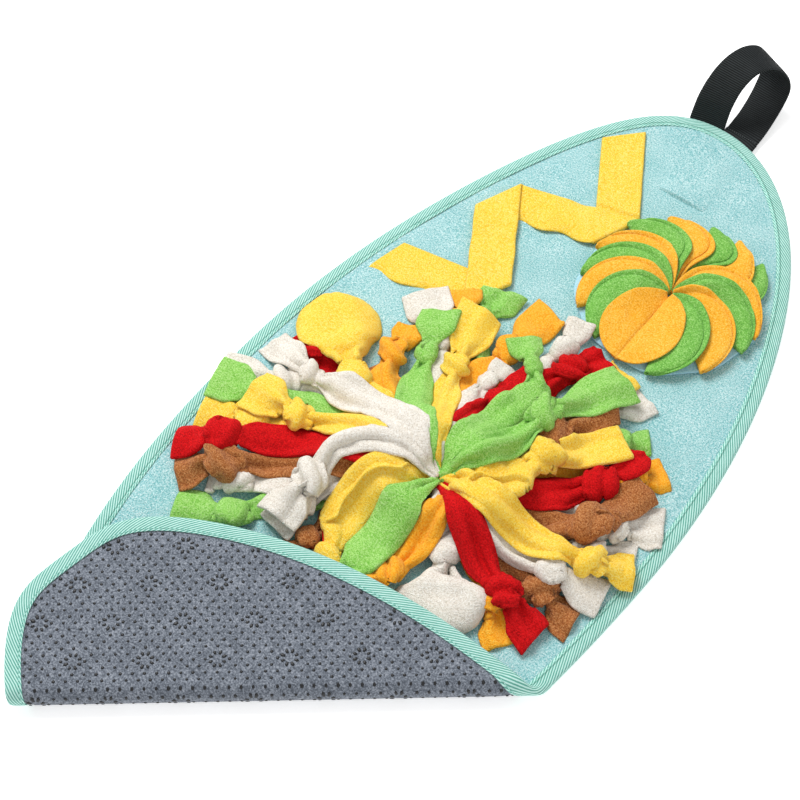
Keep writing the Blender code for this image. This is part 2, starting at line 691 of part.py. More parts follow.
def join_bodies(name, bodies, cloth):
    """One object from overlapping closed bodies."""
    items = []
    for i, bm in enumerate(bodies):
        items.append(add_object(f"{name}_{i}", bm, cloth))
    whole = items[0]
    for other in items[1:]:
        union = whole.modifiers.new("join", "BOOLEAN")
        union.operation = "UNION"
        union.solver = "EXACT"
        union.object = other
        bpy.context.view_layer.update()
        mesh = bpy.data.meshes.new_from_object(whole.evaluated_get(bpy.context.evaluated_depsgraph_get()))
        whole.modifiers.clear()
        whole.data = mesh
        bpy.data.objects.remove(other, do_unlink=True)
    bm = bmesh.new()
    bm.from_mesh(whole.data)
    bpy.data.objects.remove(whole, do_unlink=True)
    return add_object(name, bm, cloth)


def make_bundle(pile, name, rows):
    """Strips of one colour and level, fused at the head, laid on what is already there."""
    spots = np.array([polar(r * MM, b) for r in (0, 4, 7) for b in range(0, 360, 30)])
    head_z = float(pile.at(spots).max()) + GAP
    bodies = [bmesh.new()]
    add_head(bodies[0], head_z)
    laid = []
    for row in rows:
        sections = strip_sections(row)
        level = lay_strip(pile, sections, head_z + (HEAD_THICKNESS - ROOT_HEIGHT) / 2)
        bodies.append(bmesh.new())
        add_strip(bodies[-1], sections, level)
        laid.append((sections, level))
    for sections, level in laid:
        spots, first, share, rise, full = strip_samples(sections)
        beyond = first >= len(ROOT_STATIONS) - 1
        bottom = level[first] * (1 - share) + level[first + 1] * share
        pile.add(spots[beyond], (bottom + full - rise)[beyond])
    ring = np.array([polar(r * MM, b) for r in (0, 1.5, 3, 4.5, 6, 7.5) for b in range(0, 360, 10)])
    pile.add(ring, np.full(len(ring), head_z + HEAD_THICKNESS))
    return join_bodies(f"strips_{name}", bodies, name.rsplit("_", 1)[0])


def make_pompom(below):
    """All bundles, from the lowest to the highest."""
    pile = Pile()
    pile.add_rim()
    for item in below:
        pile.add_object(item)
    order = list(dict.fromkeys(row[0] for row in STRIPS))
    for name in order:
        make_bundle(pile, name, [row for row in STRIPS if row[0] == name])


def main():
    clear_scene()
    make_sheet("mat_backing", BACKING_RINGS, "grey_felt")
    make_sheet("mat_top", FLEECE_RINGS, "aqua_fleece")
    make_binding()
    make_hang_loop()
    below = [make_zigzag(), make_flower_base()]
    for row in FAN_LEAVES:
        below.append(make_leaf(*row))
    below.append(make_open_disc())
    make_pompom(below)


main()
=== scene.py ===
# %% [markdown]
# # A fleece snuffle mat, dressed piece by piece
# The mat is a long oval of fleece on dotted felt, bound with tape, one end folded over. On it lie a
# zigzag strip, a flower of folded felt discs and a big pompom of knotted fleece strips. The packed
# CAD part gives the frame; every soft piece is built here again in a finer form and stands for its
# solid.

# %% Load the frame
import json
import math

import bmesh
import bpy
import numpy as np
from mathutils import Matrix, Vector

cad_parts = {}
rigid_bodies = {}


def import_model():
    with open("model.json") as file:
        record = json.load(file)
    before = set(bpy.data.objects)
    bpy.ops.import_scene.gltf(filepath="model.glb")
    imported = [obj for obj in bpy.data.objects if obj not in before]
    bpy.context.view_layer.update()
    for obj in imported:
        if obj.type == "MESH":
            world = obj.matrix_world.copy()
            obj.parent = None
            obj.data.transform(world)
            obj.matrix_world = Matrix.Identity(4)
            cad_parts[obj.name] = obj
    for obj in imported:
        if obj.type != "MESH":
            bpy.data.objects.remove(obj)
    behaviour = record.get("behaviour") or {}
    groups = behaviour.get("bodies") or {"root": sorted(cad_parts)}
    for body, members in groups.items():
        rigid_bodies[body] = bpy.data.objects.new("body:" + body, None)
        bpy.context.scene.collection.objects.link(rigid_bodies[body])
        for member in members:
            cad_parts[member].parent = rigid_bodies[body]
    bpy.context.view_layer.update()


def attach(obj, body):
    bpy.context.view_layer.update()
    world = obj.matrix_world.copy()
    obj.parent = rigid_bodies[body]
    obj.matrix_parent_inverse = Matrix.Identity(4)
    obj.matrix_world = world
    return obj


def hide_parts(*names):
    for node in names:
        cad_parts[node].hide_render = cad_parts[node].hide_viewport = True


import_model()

MM = 0.001

# %% [markdown]
# ## Camera and studio
# The photograph looks down at about 56 degrees with a long lens, so parallel edges stay nearly
# parallel. A lens is easiest to match as a focal length in pixels turned to millimetres of a 36 mm
# sensor, and the place as a turn, a tilt and a distance from a point on the mat.

# %% The camera
PHOTO_SIZE = 800
SENSOR = 36
FOCAL_PIXELS = 1900
CAMERA_TURN = math.radians(38.5)
CAMERA_TILT = math.radians(56.5)
CAMERA_DISTANCE = 1.4315
CAMERA_TARGET = Vector((-0.0459, 0.0263, 0.0))

back = Vector((math.sin(CAMERA_TURN) * math.cos(CAMERA_TILT),
               -math.cos(CAMERA_TURN) * math.cos(CAMERA_TILT), math.sin(CAMERA_TILT)))
camera_data = bpy.data.cameras.new("camera")
camera_data.lens = FOCAL_PIXELS / PHOTO_SIZE * SENSOR
camera_data.sensor_width = SENSOR
camera_data.clip_end = 20
camera = bpy.data.objects.new("camera", camera_data)
camera.location = CAMERA_TARGET + back * CAMERA_DISTANCE
camera.rotation_euler = back.to_track_quat("Z", "Y").to_euler()
bpy.context.scene.collection.objects.link(camera)
bpy.context.scene.camera = camera
print("lens", camera_data.lens, "mm, camera at", [round(v, 3) for v in camera.location])

# %% [markdown]
# ## Colours and nodes
# Colours are picked as sRGB hex values, the way a picture editor shows them, but a shader works in
# linear light, so one function turns them. Another adds a node, sets its values and joins its
# inputs. Small functions on top of it say what a few nodes do together, which keeps each material
# down to the list of what it is made of.

# %% Helpers for materials
def linear(hex_colour):
    """An sRGB hex colour as linear red, green, blue and alpha."""
    channels = [int(hex_colour[i:i + 2], 16) / 255 for i in (1, 3, 5)]
    return [c / 12.92 if c <= 0.04045 else ((c + 0.055) / 1.055) ** 2.4 for c in channels] + [1.0]


def add_node(tree, kind, settings=None, links=None):
    """Add a node; set its properties and input values by name; join its inputs to other sockets."""
    made = tree.nodes.new(kind)
    for key, value in (settings or {}).items():
        if isinstance(key, str) and hasattr(made, key):
            setattr(made, key, value)
        else:
            made.inputs[key].default_value = value
    for key, socket in (links or {}).items():
        tree.links.new(socket, made.inputs[key])
    return made


def new_cloth(name, roughness, sheen, ior=1.5):
    """An empty cloth material: its node tree and its shader."""
    material = bpy.data.materials.new(name)
    material.use_nodes = True
    tree = material.node_tree
    shader = tree.nodes["Principled BSDF"]
    for key, value in (("Roughness", roughness), ("Sheen Weight", sheen), ("IOR", ior),
                       ("Sheen Roughness", 0.5), ("Metallic", 0.0)):
        shader.inputs[key].default_value = value
    return material, tree, shader


def ramp(tree, stops, factor):
    """A colour ramp through (place, hex colour) stops."""
    made = add_node(tree, "ShaderNodeValToRGB", links={"Fac": factor})
    elements = made.color_ramp.elements
    while len(elements) < len(stops):
        elements.new(0.5)
    for element, (place, colour) in zip(elements, stops):
        element.position = place
        element.color = linear(colour)
    return made.outputs["Color"]


def noise(tree, place, size, detail, roughness=0.5):
    """Noise from 0 to 1 whose features have the given size in metres."""
    made = add_node(tree, "ShaderNodeTexNoise",
                    {"Scale": 1 / size, "Detail": detail, "Roughness": roughness}, {"Vector": place})
    return made.outputs["Fac"]


def add_share(tree, part, share, whole):
    """The whole with a share of the part added to it."""
    made = add_node(tree, "ShaderNodeMath", {"operation": "MULTIPLY_ADD", 1: share}, {0: part, 2: whole})
    return made.outputs["Value"]


def stretched(tree, value, low, high):
    """The value with the range from low to high stretched to 0 to 1."""
    made = add_node(tree, "ShaderNodeMapRange", {"From Min": low, "From Max": high}, {"Value": value})
    return made.outputs["Result"]


def finish_cloth(tree, shader, colour, height, strength, distance):
    """Give a shader its colour, and a bump of the given strength and depth in metres."""
    bump = add_node(tree, "ShaderNodeBump", {"Strength": strength, "Distance": distance},
                    {"Height": height})
    tree.links.new(colour, shader.inputs["Base Color"])
    tree.links.new(bump.outputs["Normal"], shader.inputs["Normal"])


# %% [markdown]
# ## Floor and light
# The photograph has a white sweep and broad, soft light, brighter from the upper left. A pale plane
# that glows a little, an even white world and two large lamps give that. The plain display curve
# keeps the bright dyes of the fleece as strong as they are in the picture.

# %% Floor, world and lamps
FLOOR_SIZE = 12
FLOOR_DROP = 0.2 * MM
FLOOR_GLOW = 0.48
WORLD_STRENGTH = 0.5
# Each row is a lamp: its name, where it stands, its size and its power in watts.
LAMPS = (
    ("key_lamp", (-1.3, 0.5, 1.9), 1.1, 51),
    ("fill_lamp", (1.6, -0.9, 1.7), 1.6, 10),
)

bpy.context.scene.view_settings.view_transform = "Standard"
floor_material, tree, shader = new_cloth("pale_studio_paper", 0.9, 0.0)
shader.inputs["Emission Color"].default_value = linear("#FFFFFF")
shader.inputs["Emission Strength"].default_value = FLOOR_GLOW
shader.inputs["Base Color"].default_value = linear("#FBFBFB")
bpy.ops.mesh.primitive_plane_add(size=FLOOR_SIZE, location=(0, 0, -FLOOR_DROP))
floor = bpy.context.object
floor.name = "studio_floor"
floor.data.materials.append(floor_material)

world = bpy.data.worlds.new("studio")
bpy.context.scene.world = world
world.use_nodes = True
background = world.node_tree.nodes["Background"]
background.inputs["Color"].default_value = linear("#FFFFFF")
background.inputs["Strength"].default_value = WORLD_STRENGTH

for name, place, size, power in LAMPS:
    lamp_data = bpy.data.lights.new(name, "AREA")
    lamp_data.size = size
    lamp_data.energy = power
    lamp = bpy.data.objects.new(name, lamp_data)
    lamp.location = place
    lamp.rotation_euler = Vector(place).to_track_quat("Z", "Y").to_euler()
    bpy.context.scene.collection.objects.link(lamp)
print("lamps:", [row[0] for row in LAMPS])

# %% [markdown]
# ## Fleece
# Fleece is a knit of fine polyester whose loops are cut and brushed into a short nap. It has no
# gloss: light sinks between the fibres and comes back soft, with a faint paler sheen on edges seen
# at a slant. Only the red goes without that sheen, which would turn it pink. The nap clumps into
# nubs a little over a millimetre wide. Hair strands would be far too heavy, so the nubs are drawn
# as noise: it lifts the surface by bump, and the same noise paints shade into the hollows and
# light onto the tips, so the hollows are deeper in colour than the tips.

# %% The fleece materials
NUB_SIZE = 1.2 * MM
FINE_NAP_SIZE = 0.6 * MM
BRUSH_PATCH = 26 * MM
NAP_HEIGHT = 0.95 * MM
# How much of the fine nap and of the brushed patches is added to the nubs, and the range of the sum.
FINE_NAP_SHARE = 0.45
PATCH_SHARE = 0.2
NAP_RANGE = (0.55, 1.08)


def brushed_nap(name, hollow_shade, middle, tip, depth=1.0, sheen=0.1):
    """Three tones of brushed cloth: painted shade in the nap's hollows, the middle, painted light on the
    tips.
    """
    material, tree, shader = new_cloth(name, 0.95, sheen, ior=1.45)
    place = add_node(tree, "ShaderNodeTexCoord").outputs["Object"]
    nubs = noise(tree, place, NUB_SIZE, 1.5, 0.55)
    fine = noise(tree, place, FINE_NAP_SIZE, 1.0)
    patches = noise(tree, place, BRUSH_PATCH, 2.0)
    nap = add_share(tree, fine, FINE_NAP_SHARE, nubs)
    tone = stretched(tree, add_share(tree, patches, PATCH_SHARE, nap), *NAP_RANGE)
    # The nap's height picks the tone: painted shade in its hollows, painted light on its tips.
    colour = ramp(tree, ((0.0, hollow_shade), (0.5, middle), (1.0, tip)), tone)
    finish_cloth(tree, shader, colour, nap, depth, NAP_HEIGHT)
    shader.inputs["Specular IOR Level"].default_value = 0.25
    return material


# Each row is a dye: its name, then the tones of the nap's hollows with painted shade, its middle,
# and its tips with painted light.
FLEECES = {
    "yellow": brushed_nap("yellow_fleece", "#F1B41E", "#FFD644", "#FFE986"),
    "orange": brushed_nap("orange_fleece", "#F08C0C", "#FFAE22", "#FFC852"),
    "green": brushed_nap("green_fleece", "#66B038", "#92CE5E", "#BAE692"),
    "red": brushed_nap("red_fleece", "#9A0208", "#CC040A", "#E41A20", sheen=0.0),
    "brown": brushed_nap("brown_fleece", "#7E401A", "#AC6834", "#D0945E"),
    "white": brushed_nap("white_fleece", "#CFC5B6", "#E9E2D6", "#F9F6EF"),
}
# The mat's fleece and the felts below have the same painted shade in the hollows and painted light on the
# tips.
aqua_fleece = brushed_nap("aqua_fleece", "#67AEB3", "#9ED0D2", "#DCF3F3")
FELTS = {
    "green": brushed_nap("green_felt", "#54963A", "#76B84C", "#A2D67C", depth=0.8),
    "orange": brushed_nap("orange_felt", "#E69616", "#F9B22E", "#FFD066", depth=0.8),
    "pale": brushed_nap("pale_felt", "#93C9DE", "#ACDAEA", "#C2E7F2", depth=0.5),
}
print("fleeces:", sorted(FLEECES), "felts:", sorted(FELTS))

# %% [markdown]
# ## Twill tape and webbing
# The binding is a cotton-like tape woven in twill: each row of the weave steps one thread aside, so
# its ribs run slantwise. The hanging loop is nylon webbing with fine cross ribs. Both patterns
# follow the strap, not the world, so they are drawn on a flat map of the cloth, in metres along and
# across. The real ribs are about 0.8 mm apart; at this size in the picture they would vanish, so
# they are drawn about twice as coarse.

# %% The woven materials
TWILL_PITCH = 1.7 * MM
TWILL_TURN = math.radians(65)
WEBBING_PITCH = 1.8 * MM
RIB_HEIGHT = 0.35 * MM
MOTTLE_SIZE = 9 * MM


def woven(name, low, high, angle, pitch, roughness, depth, sheen, shade_lines=()):
    """Ribbed weave on the map named cloth, its ribs turned by an angle, with painted shade along some lines.
    """
    material, tree, shader = new_cloth(name, roughness, sheen)
    place = add_node(tree, "ShaderNodeUVMap", {"uv_map": "cloth"}).outputs["UV"]
    turned = add_node(tree, "ShaderNodeMapping", {"Rotation": (0, 0, angle)}, {"Vector": place})
    # At scale 1 a wave repeats every 2 pi / 20, so the scale is worked out from the pitch.
    ribs = add_node(tree, "ShaderNodeTexWave",
                    {"wave_type": "BANDS", "bands_direction": "X", "wave_profile": "SIN",
                     "Scale": 2 * math.pi / 20 / pitch, "Distortion": 0.6, "Detail": 1.0,
                     "Detail Scale": 3.0},
                    {"Vector": turned.outputs["Vector"]}).outputs["Fac"]
    mottle = noise(tree, place, MOTTLE_SIZE, 3.0)
    tone = stretched(tree, add_share(tree, mottle, 0.35, ribs), 0.2, 1.1)
    colour = ramp(tree, ((0.0, low), (1.0, high)), tone)
    # Painted shade along the stitched grooves, multiplied into the colour.
    if shade_lines:
        across = add_node(tree, "ShaderNodeSeparateXYZ", links={"Vector": place}).outputs["Y"]
        share = stretched(tree, across, 0.0, shade_lines[-1][0] * MM)
        shade = ramp(tree, [(at / shade_lines[-1][0], shade_tone) for at, shade_tone in shade_lines], share)
        colour = add_node(tree, "ShaderNodeMix", {"data_type": "RGBA", "blend_type": "MULTIPLY", 0: 1.0},
                          {6: colour, 7: shade}).outputs[2]
    finish_cloth(tree, shader, colour, ribs, depth, RIB_HEIGHT)
    return material


# Painted shade darkens the tape along the stitched groove beside each selvedge. Each row is a
# distance across the tape in millimetres and how much of its colour is kept there.
TAPE_GROOVE_SHADE = ((0.0, "#FFFFFF"), (1.7, "#FFFFFF"), (2.4, "#8FB3AC"), (3.2, "#F4F4F4"), (24.3, "#F4F4F4"),
              (25.1, "#7FA69E"), (25.8, "#FFFFFF"), (40.0, "#FFFFFF"))
mint_twill = woven("mint_twill_tape", "#47A08E", "#CDF7EE", TWILL_TURN, TWILL_PITCH, 0.8, 0.8, 0.1,
                   TAPE_GROOVE_SHADE)
black_webbing = woven("black_nylon_webbing", "#020203", "#2E3334", 0.0, WEBBING_PITCH, 0.75, 0.6, 0.0)
black_webbing.node_tree.nodes["Principled BSDF"].inputs["Specular IOR Level"].default_value = 0.2
print("woven:", mint_twill.name, black_webbing.name)

# %% [markdown]
# ## Backing felt, rubber dots and thread
# The backing is needled felt: pale and dark fibres are punched into one another at random, so one
# fine noise and one broad one give its colour. Dots and threads are too small for more than two
# close tones, but a quite even surface would look like plastic next to cloth.

# %% The felt, the dots and the threads
FIBRE_SIZE = 1.3 * MM
FIBRE_HEIGHT = 0.4 * MM
CLOUD_SIZE = 12 * MM
GRAIN_HEIGHT = 0.2 * MM


def needled_felt(name):
    """Grey needled polyester: pale and dark fibres mixed at random."""
    material, tree, shader = new_cloth(name, 0.95, 0.2)
    place = add_node(tree, "ShaderNodeTexCoord").outputs["Object"]
    fibres = noise(tree, place, FIBRE_SIZE, 2.0, 0.7)
    clouds = noise(tree, place, CLOUD_SIZE, 2.0)
    tone = stretched(tree, add_share(tree, clouds, 0.15, fibres), 0.42, 0.76)
    colour = ramp(tree, ((0.0, "#454B54"), (0.5, "#6C737E"), (1.0, "#989EA8")), tone)
    finish_cloth(tree, shader, colour, fibres, 0.6, FIBRE_HEIGHT)
    return material


def plain_speckled(name, low, high, roughness, size):
    """A small piece's finish: two close tones in a fine noise, with the same noise as bump."""
    material, tree, shader = new_cloth(name, roughness, 0.0)
    place = add_node(tree, "ShaderNodeTexCoord").outputs["Object"]
    grain = noise(tree, place, size, 2.0)
    colour = ramp(tree, ((0.3, low), (0.7, high)), grain)
    finish_cloth(tree, shader, colour, grain, 0.3, GRAIN_HEIGHT)
    return material


grey_felt = needled_felt("grey_needled_felt")
pvc_dot = plain_speckled("black_pvc_dots", "#060708", "#101114", 0.45, 1.0 * MM)
mint_thread = plain_speckled("mint_sewing_thread", "#8FDCCB", "#C2F3E8", 0.6, 0.5 * MM)
grey_thread = plain_speckled("grey_sewing_thread", "#4A4D50", "#6E7275", 0.6, 0.5 * MM)
print("felt and small finishes:", [m.name for m in (grey_felt, pvc_dot, mint_thread, grey_thread)])

# %% [markdown]
# ## Turning points into cloth
# A cloth is one closed skin: a grid of points for its face, another for its back, and a rounded rim
# between them. Building both grids with numpy and handing Blender the whole list at once is much
# faster than adding faces one by one.

# %% Helpers for cloth meshes
def make_object(name, points, faces, material, uv=None):
    """An object from points and faces, facing out, with a map of the cloth if one is given."""
    mesh = bpy.data.meshes.new(name)
    mesh.from_pydata([tuple(p) for p in points], [], [tuple(f) for f in faces])
    if uv is not None:
        layer = mesh.uv_layers.new(name="cloth")
        corners = np.zeros(len(mesh.loops), dtype=np.int64)
        mesh.loops.foreach_get("vertex_index", corners)
        layer.data.foreach_set("uv", np.asarray(uv)[corners].ravel())
    bm = bmesh.new()
    bm.from_mesh(mesh)
    bmesh.ops.recalc_face_normals(bm, faces=bm.faces)
    if bm.calc_volume(signed=True) < 0:
        bmesh.ops.reverse_faces(bm, faces=bm.faces)
    bm.to_mesh(mesh)
    bm.free()
    mesh.materials.append(material)
    mesh.polygons.foreach_set("use_smooth", [True] * len(mesh.polygons))
    item = bpy.data.objects.new(name, mesh)
    bpy.context.scene.collection.objects.link(item)
    return item


def dress(item, replaced=()):
    """Let a piece ride on the mat and stand for its solids, whose CAD parts it hides."""
    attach(item, "root")
    if replaced:
        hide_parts(*replaced)
    return item


# %% [markdown]
# ## The closed skin of a strip
# A strip's face and reverse are two grids of points. Its long edges and its ends are closed by one
# more row that stands out by nearly half the cloth's thickness, so the rim looks rounded without
# many faces.

# %% The skin of a strip
def unit(vectors):
    """The vectors at length one."""
    return vectors / (np.linalg.norm(vectors, axis=-1)[..., None] + 1e-12)


def ring_faces(rings, size):
    """The faces between rings of points, each ring closed and joined to the next."""
    return [(i * size + j, i * size + (j + 1) % size, (i + 1) * size + (j + 1) % size, (i + 1) * size + j)
            for i in range(rings - 1) for j in range(size)]


def ribbon_skin(face, reverse):
    """Points and faces of a closed strip from its face and back grids, with rounded rims."""
    count, across = face.shape[:2]
    rims = []
    for j, other in ((-1, -2), (0, 1)):
        middle = (face[:, j] + reverse[:, j]) / 2
        outward = (face[:, j] - face[:, other]) + (reverse[:, j] - reverse[:, other])
        outward /= np.linalg.norm(outward, axis=1)[:, None] + 1e-12
        thick = np.linalg.norm(face[:, j] - reverse[:, j], axis=1)[:, None]
        rims.append(middle + outward * thick * 0.45)
    loops = np.concatenate([face, rims[0][:, None], reverse[:, ::-1], rims[1][:, None]], axis=1)
    ends = []
    for i, other in ((0, 1), (-1, -2)):
        centre = (face[i] + reverse[i]) / 2
        outward = centre - (face[other] + reverse[other]) / 2
        outward /= np.linalg.norm(outward, axis=1)[:, None] + 1e-12
        thick = np.linalg.norm(face[i] - reverse[i], axis=1)[:, None]
        ends.append(centre + outward * thick * 0.45)
    size = loops.shape[1]
    points = np.concatenate([loops.reshape(-1, 3), ends[0], ends[1]])
    faces = ring_faces(count, size)
    for which, i in ((0, 0), (1, count - 1)):
        first = count * size + which * across
        base = i * size
        for j in range(across - 1):
            faces.append((base + j, base + j + 1, first + j + 1, first + j))
            low = base + size - 2 - j
            faces.append((low, low - 1, first + j + 1, first + j))
        faces.append((base + across - 1, base + across, first + across - 1))
        faces.append((base + across, base + across + 1, first + across - 1))
        faces.append((base, first, base + size - 1))
        faces.append((base + size - 1, first, base + size - 2))
    return points, faces


# %% [markdown]
# ## Noise and smooth curves
# Cloth is never quite even, so its points are shifted by a soft noise that is the same on every run.
# Long pieces follow a curve drawn through a few listed points. It passes through every one of
# them, and it is walked in even steps so that the mesh is as fine in a bend as on a straight run.

# %% Noise and curves
def lattice_noise(points, size, seed):
    """Smooth noise from -1 to 1 with features of the given size, the same on every run."""
    place = np.asarray(points) / size + 1000.0
    cell = np.floor(place).astype(np.int64)
    part = place - cell
    part = part * part * (3 - 2 * part)
    total = np.zeros(place.shape[:-1])
    for corner in range(8):
        step = np.array([(corner >> k) & 1 for k in range(3)])
        at = cell + step
        mixed = (at[..., 0] * 73856093) ^ (at[..., 1] * 19349663) ^ (at[..., 2] * 83492791) ^ (seed * 2654435)
        value = ((mixed * 1103515245 + 12345) >> 8) % 65536 / 32768 - 1
        total += value * np.prod(np.where(step, part, 1 - part), axis=-1)
    return total


def distances(points):
    """How far each point of a line is from its start, measured along the line."""
    return np.concatenate([[0], np.cumsum(np.linalg.norm(np.diff(points, axis=0), axis=1))])


def spline(rows, count):
    """A smooth curve through the rows of a table, at evenly spaced places along it."""
    rows = np.asarray(rows, dtype=float)
    padded = np.vstack([2 * rows[0] - rows[1], rows, 2 * rows[-1] - rows[-2]])

    def at(place):
        k = np.minimum(place.astype(int), len(rows) - 2)
        t = (place - k)[:, None]
        a, b, c, d = (padded[k + i] for i in range(4))
        return 0.5 * (2 * b + (c - a) * t + (2 * a - 5 * b + 4 * c - d) * t ** 2
                      + (3 * b - a - 3 * c + d) * t ** 3)

    dense = np.linspace(0, len(rows) - 1, 40 * len(rows))
    walked = distances(at(dense)[:, :3])
    return at(np.interp(np.linspace(0, walked[-1], count), walked, dense)), walked[-1]


# %% [markdown]
# ## The oval and its fold
# The mat was cut as a long oval, fuller at the near end, and bows a little to one side. A formula
# with a few shape numbers draws that outline. The near end then rolls over a soft fold and lies back
# on the mat, so every layer is made flat first and one function carries its points round the fold.

# %% The outline and the fold
# The oval's half sizes; how round its far and near ends are; how its width changes along it; and
# how far it bows aside.
HALF_LENGTH = 400 * MM
HALF_WIDTH = 154 * MM
FAR_POWER = 2.12
NEAR_POWER = 3.68
WIDTH_SHAPE = (0.03, -0.32, 0.19)
BOW_SHAPE = (0.063, 0.060, 0.114)
RIM_THICKNESS = 5.9 * MM
FLEECE_TOP = 4.8 * MM

FOLD_DISTANCE = 187.8 * MM
FOLD_BEARING = math.radians(39.7)
FOLD_RADIUS = 10.5 * MM
FOLD_MIDDLE = 7.5 * MM
FLAP_TILT = math.radians(4.5)
FOLD_TURN = math.pi - FLAP_TILT
FOLD_CURL = FOLD_MIDDLE * FOLD_TURN
FOLD_STEPS = 16
FOLD_NORMAL = np.array([math.sin(FOLD_BEARING), -math.cos(FOLD_BEARING)])


def oval_edge(angles):
    """Points of the oval's edge at the given angles."""
    s, c = np.sin(angles), np.cos(angles)
    power = 2 / np.where(s > 0, FAR_POWER, NEAR_POWER)
    along = np.sign(s) * np.abs(s) ** power
    across = np.sign(c) * np.abs(c) ** power
    tilt, swell, skew = WIDTH_SHAPE
    width = 1 + tilt * along + swell * (along ** 2 - 0.5) + skew * along ** 3
    bow = (BOW_SHAPE[0] + BOW_SHAPE[1] * along + BOW_SHAPE[2] * along ** 2) * (1 - along ** 2)
    return np.column_stack([HALF_WIDTH * (across * width + bow), HALF_LENGTH * along])


def oval_ring(inset, count):
    """Evenly spaced points of the edge, moved inward."""
    dense = oval_edge(np.linspace(0, 2 * math.pi, 5761))
    walked = distances(dense)
    marks = np.arange(count) / count * walked[-1]
    points = np.column_stack([np.interp(marks, walked, dense[:, k]) for k in (0, 1)])
    forward = unit(np.roll(points, -2, axis=0) - np.roll(points, 2, axis=0))
    return points + np.column_stack([-forward[:, 1], forward[:, 0]]) * inset


def fold_over(points):
    """Carry points of the flat mat round the fold."""
    points = np.array(points, dtype=float)
    s = points[:, :2] @ FOLD_NORMAL - FOLD_DISTANCE
    height = points[:, 2]
    angle = np.clip(s / FOLD_MIDDLE, 0, FOLD_TURN)
    past = np.maximum(s - FOLD_CURL, 0)
    along = (FOLD_RADIUS - height) * np.sin(angle) + past * math.cos(FOLD_TURN) + np.minimum(s, 0)
    up = FOLD_RADIUS - (FOLD_RADIUS - height) * np.cos(angle) + past * math.sin(FOLD_TURN)
    points[:, :2] += (along - s)[:, None] * FOLD_NORMAL
    points[:, 2] = up
    return points


def roll_fold(item):
    """Cut a flat piece along the curl, so that it bends smoothly, and fold it over."""
    bm = bmesh.new()
    bm.from_mesh(item.data)
    normal = Vector((*FOLD_NORMAL, 0))
    for i in range(FOLD_STEPS + 1):
        everything = bm.verts[:] + bm.edges[:] + bm.faces[:]
        place = normal * (FOLD_DISTANCE + FOLD_CURL * i / FOLD_STEPS)
        bmesh.ops.bisect_plane(bm, geom=everything, dist=0.01 * MM, plane_co=place, plane_no=normal)
    flat = np.array([v.co[:] for v in bm.verts])
    for vert, place in zip(bm.verts, fold_over(flat)):
        vert.co = place
    bm.to_mesh(item.data)
    bm.free()
    return item


print("oval", round(2 * HALF_LENGTH, 3), "m long, fold curl", round(FOLD_CURL / MM, 1), "mm")

# %% [markdown]
# ## The aqua fleece and the grey felt
# Both sheets of the mat have the oval's outline. They are pressed thin where the tape grips the rim
# and swell a little inside it. The fleece isn't dead flat, it has low waves. Rings of points that
# shrink towards the middle give an even mesh with a clean rim, and the waves are then a matter of
# height.

# %% A sheet from rings of points
RING_POINTS = 400
INNER_RINGS = 30
# Each row is a ring near the rim: its inset, then the underside's and the top's height, in
# millimetres.
FELT_RIM = ((1.3, 1.3, 2.7), (6.0, 1.3, 2.7), (11.0, 1.3, 2.7), (12.5, 1.1, 2.6), (15.0, 0.5, 2.2),
            (19.0, 0.0, 2.0), (24.0, 0.0, 2.0))
FLEECE_RIM = ((1.3, 3.0, 4.6), (6.0, 3.0, 4.7), (11.0, 3.0, 4.8), (12.5, 2.9, 4.9), (15.0, 2.5, 5.0),
              (19.0, 2.3, 4.9), (24.0, 2.3, 4.8))


def sheet_rings(rim, which):
    """Rings of flat points for one face of a sheet, from the rim to the middle."""
    rings = []
    for row in rim:
        ring = oval_ring(row[0] * MM, RING_POINTS)
        rings.append(np.column_stack([ring, np.full(RING_POINTS, row[which] * MM)]))
    last, level = rings[-1][:, :2], rings[-1][0, 2]
    for share in np.linspace(1, 0, INNER_RINGS + 1)[1:-1]:
        rings.append(np.column_stack([last * share, np.full(RING_POINTS, level)]))
    return rings


def mat_sheet(name, rim, material, relief=None):
    """One closed sheet of the mat; relief gives the height to add to its top."""
    under, top = sheet_rings(rim, 1), sheet_rings(rim, 2)
    if relief:
        for ring in top:
            ring[:, 2] += relief(ring[:, :2])
    loops = under[::-1] + top
    points = np.concatenate(loops)
    centre_low, centre_high = len(points), len(points) + 1
    points = np.vstack([points, [0, 0, under[-1][0, 2]], [0, 0, top[-1][0, 2]]])
    faces = ring_faces(len(loops), RING_POINTS)
    last = (len(loops) - 1) * RING_POINTS
    for j in range(RING_POINTS):
        k = (j + 1) % RING_POINTS
        faces.append((k, j, centre_low))
        faces.append((last + j, last + k, centre_high))
    return roll_fold(make_object(name, points, faces, material))


def fleece_relief(points):
    """Low waves of the fleece."""
    flat = np.column_stack([points, np.zeros(len(points))])
    waves = 0.35 * MM * lattice_noise(flat, 45 * MM, 3) + 0.15 * MM * lattice_noise(flat, 14 * MM, 4)
    inside = np.clip(np.linalg.norm(points, axis=1) / (5 * MM), 0, 1)
    return waves * inside


# %% [markdown]
# ## The crease
# One short crease runs beside the hanging loop: a narrow groove with a bank on its far side, as if
# the fleece had slid over itself. Such a sharp step needs points a few tenths of a millimetre apart,
# so the mesh is cut finer there before the points are moved.

# %% The crease, and both sheets
CREASE_ENDS = (np.array([-8, 315.5]) * MM, np.array([34, 316.5]) * MM)
CREASE_WIDTH = 1.1 * MM
CREASE_DEPTH = 2.2 * MM
CREASE_STEP = 2.9 * MM
STEP_SOFTNESS = 0.3 * MM
BANK_REACH = 9 * MM
CREASE_REACH = 40 * MM
FACE_LEVEL = 3.5 * MM
# Each row is how far from the crease the mesh is cut finer, and how many cuts an edge gets.
CREASE_CUTS = ((15 * MM, 7), (3.5 * MM, 5))


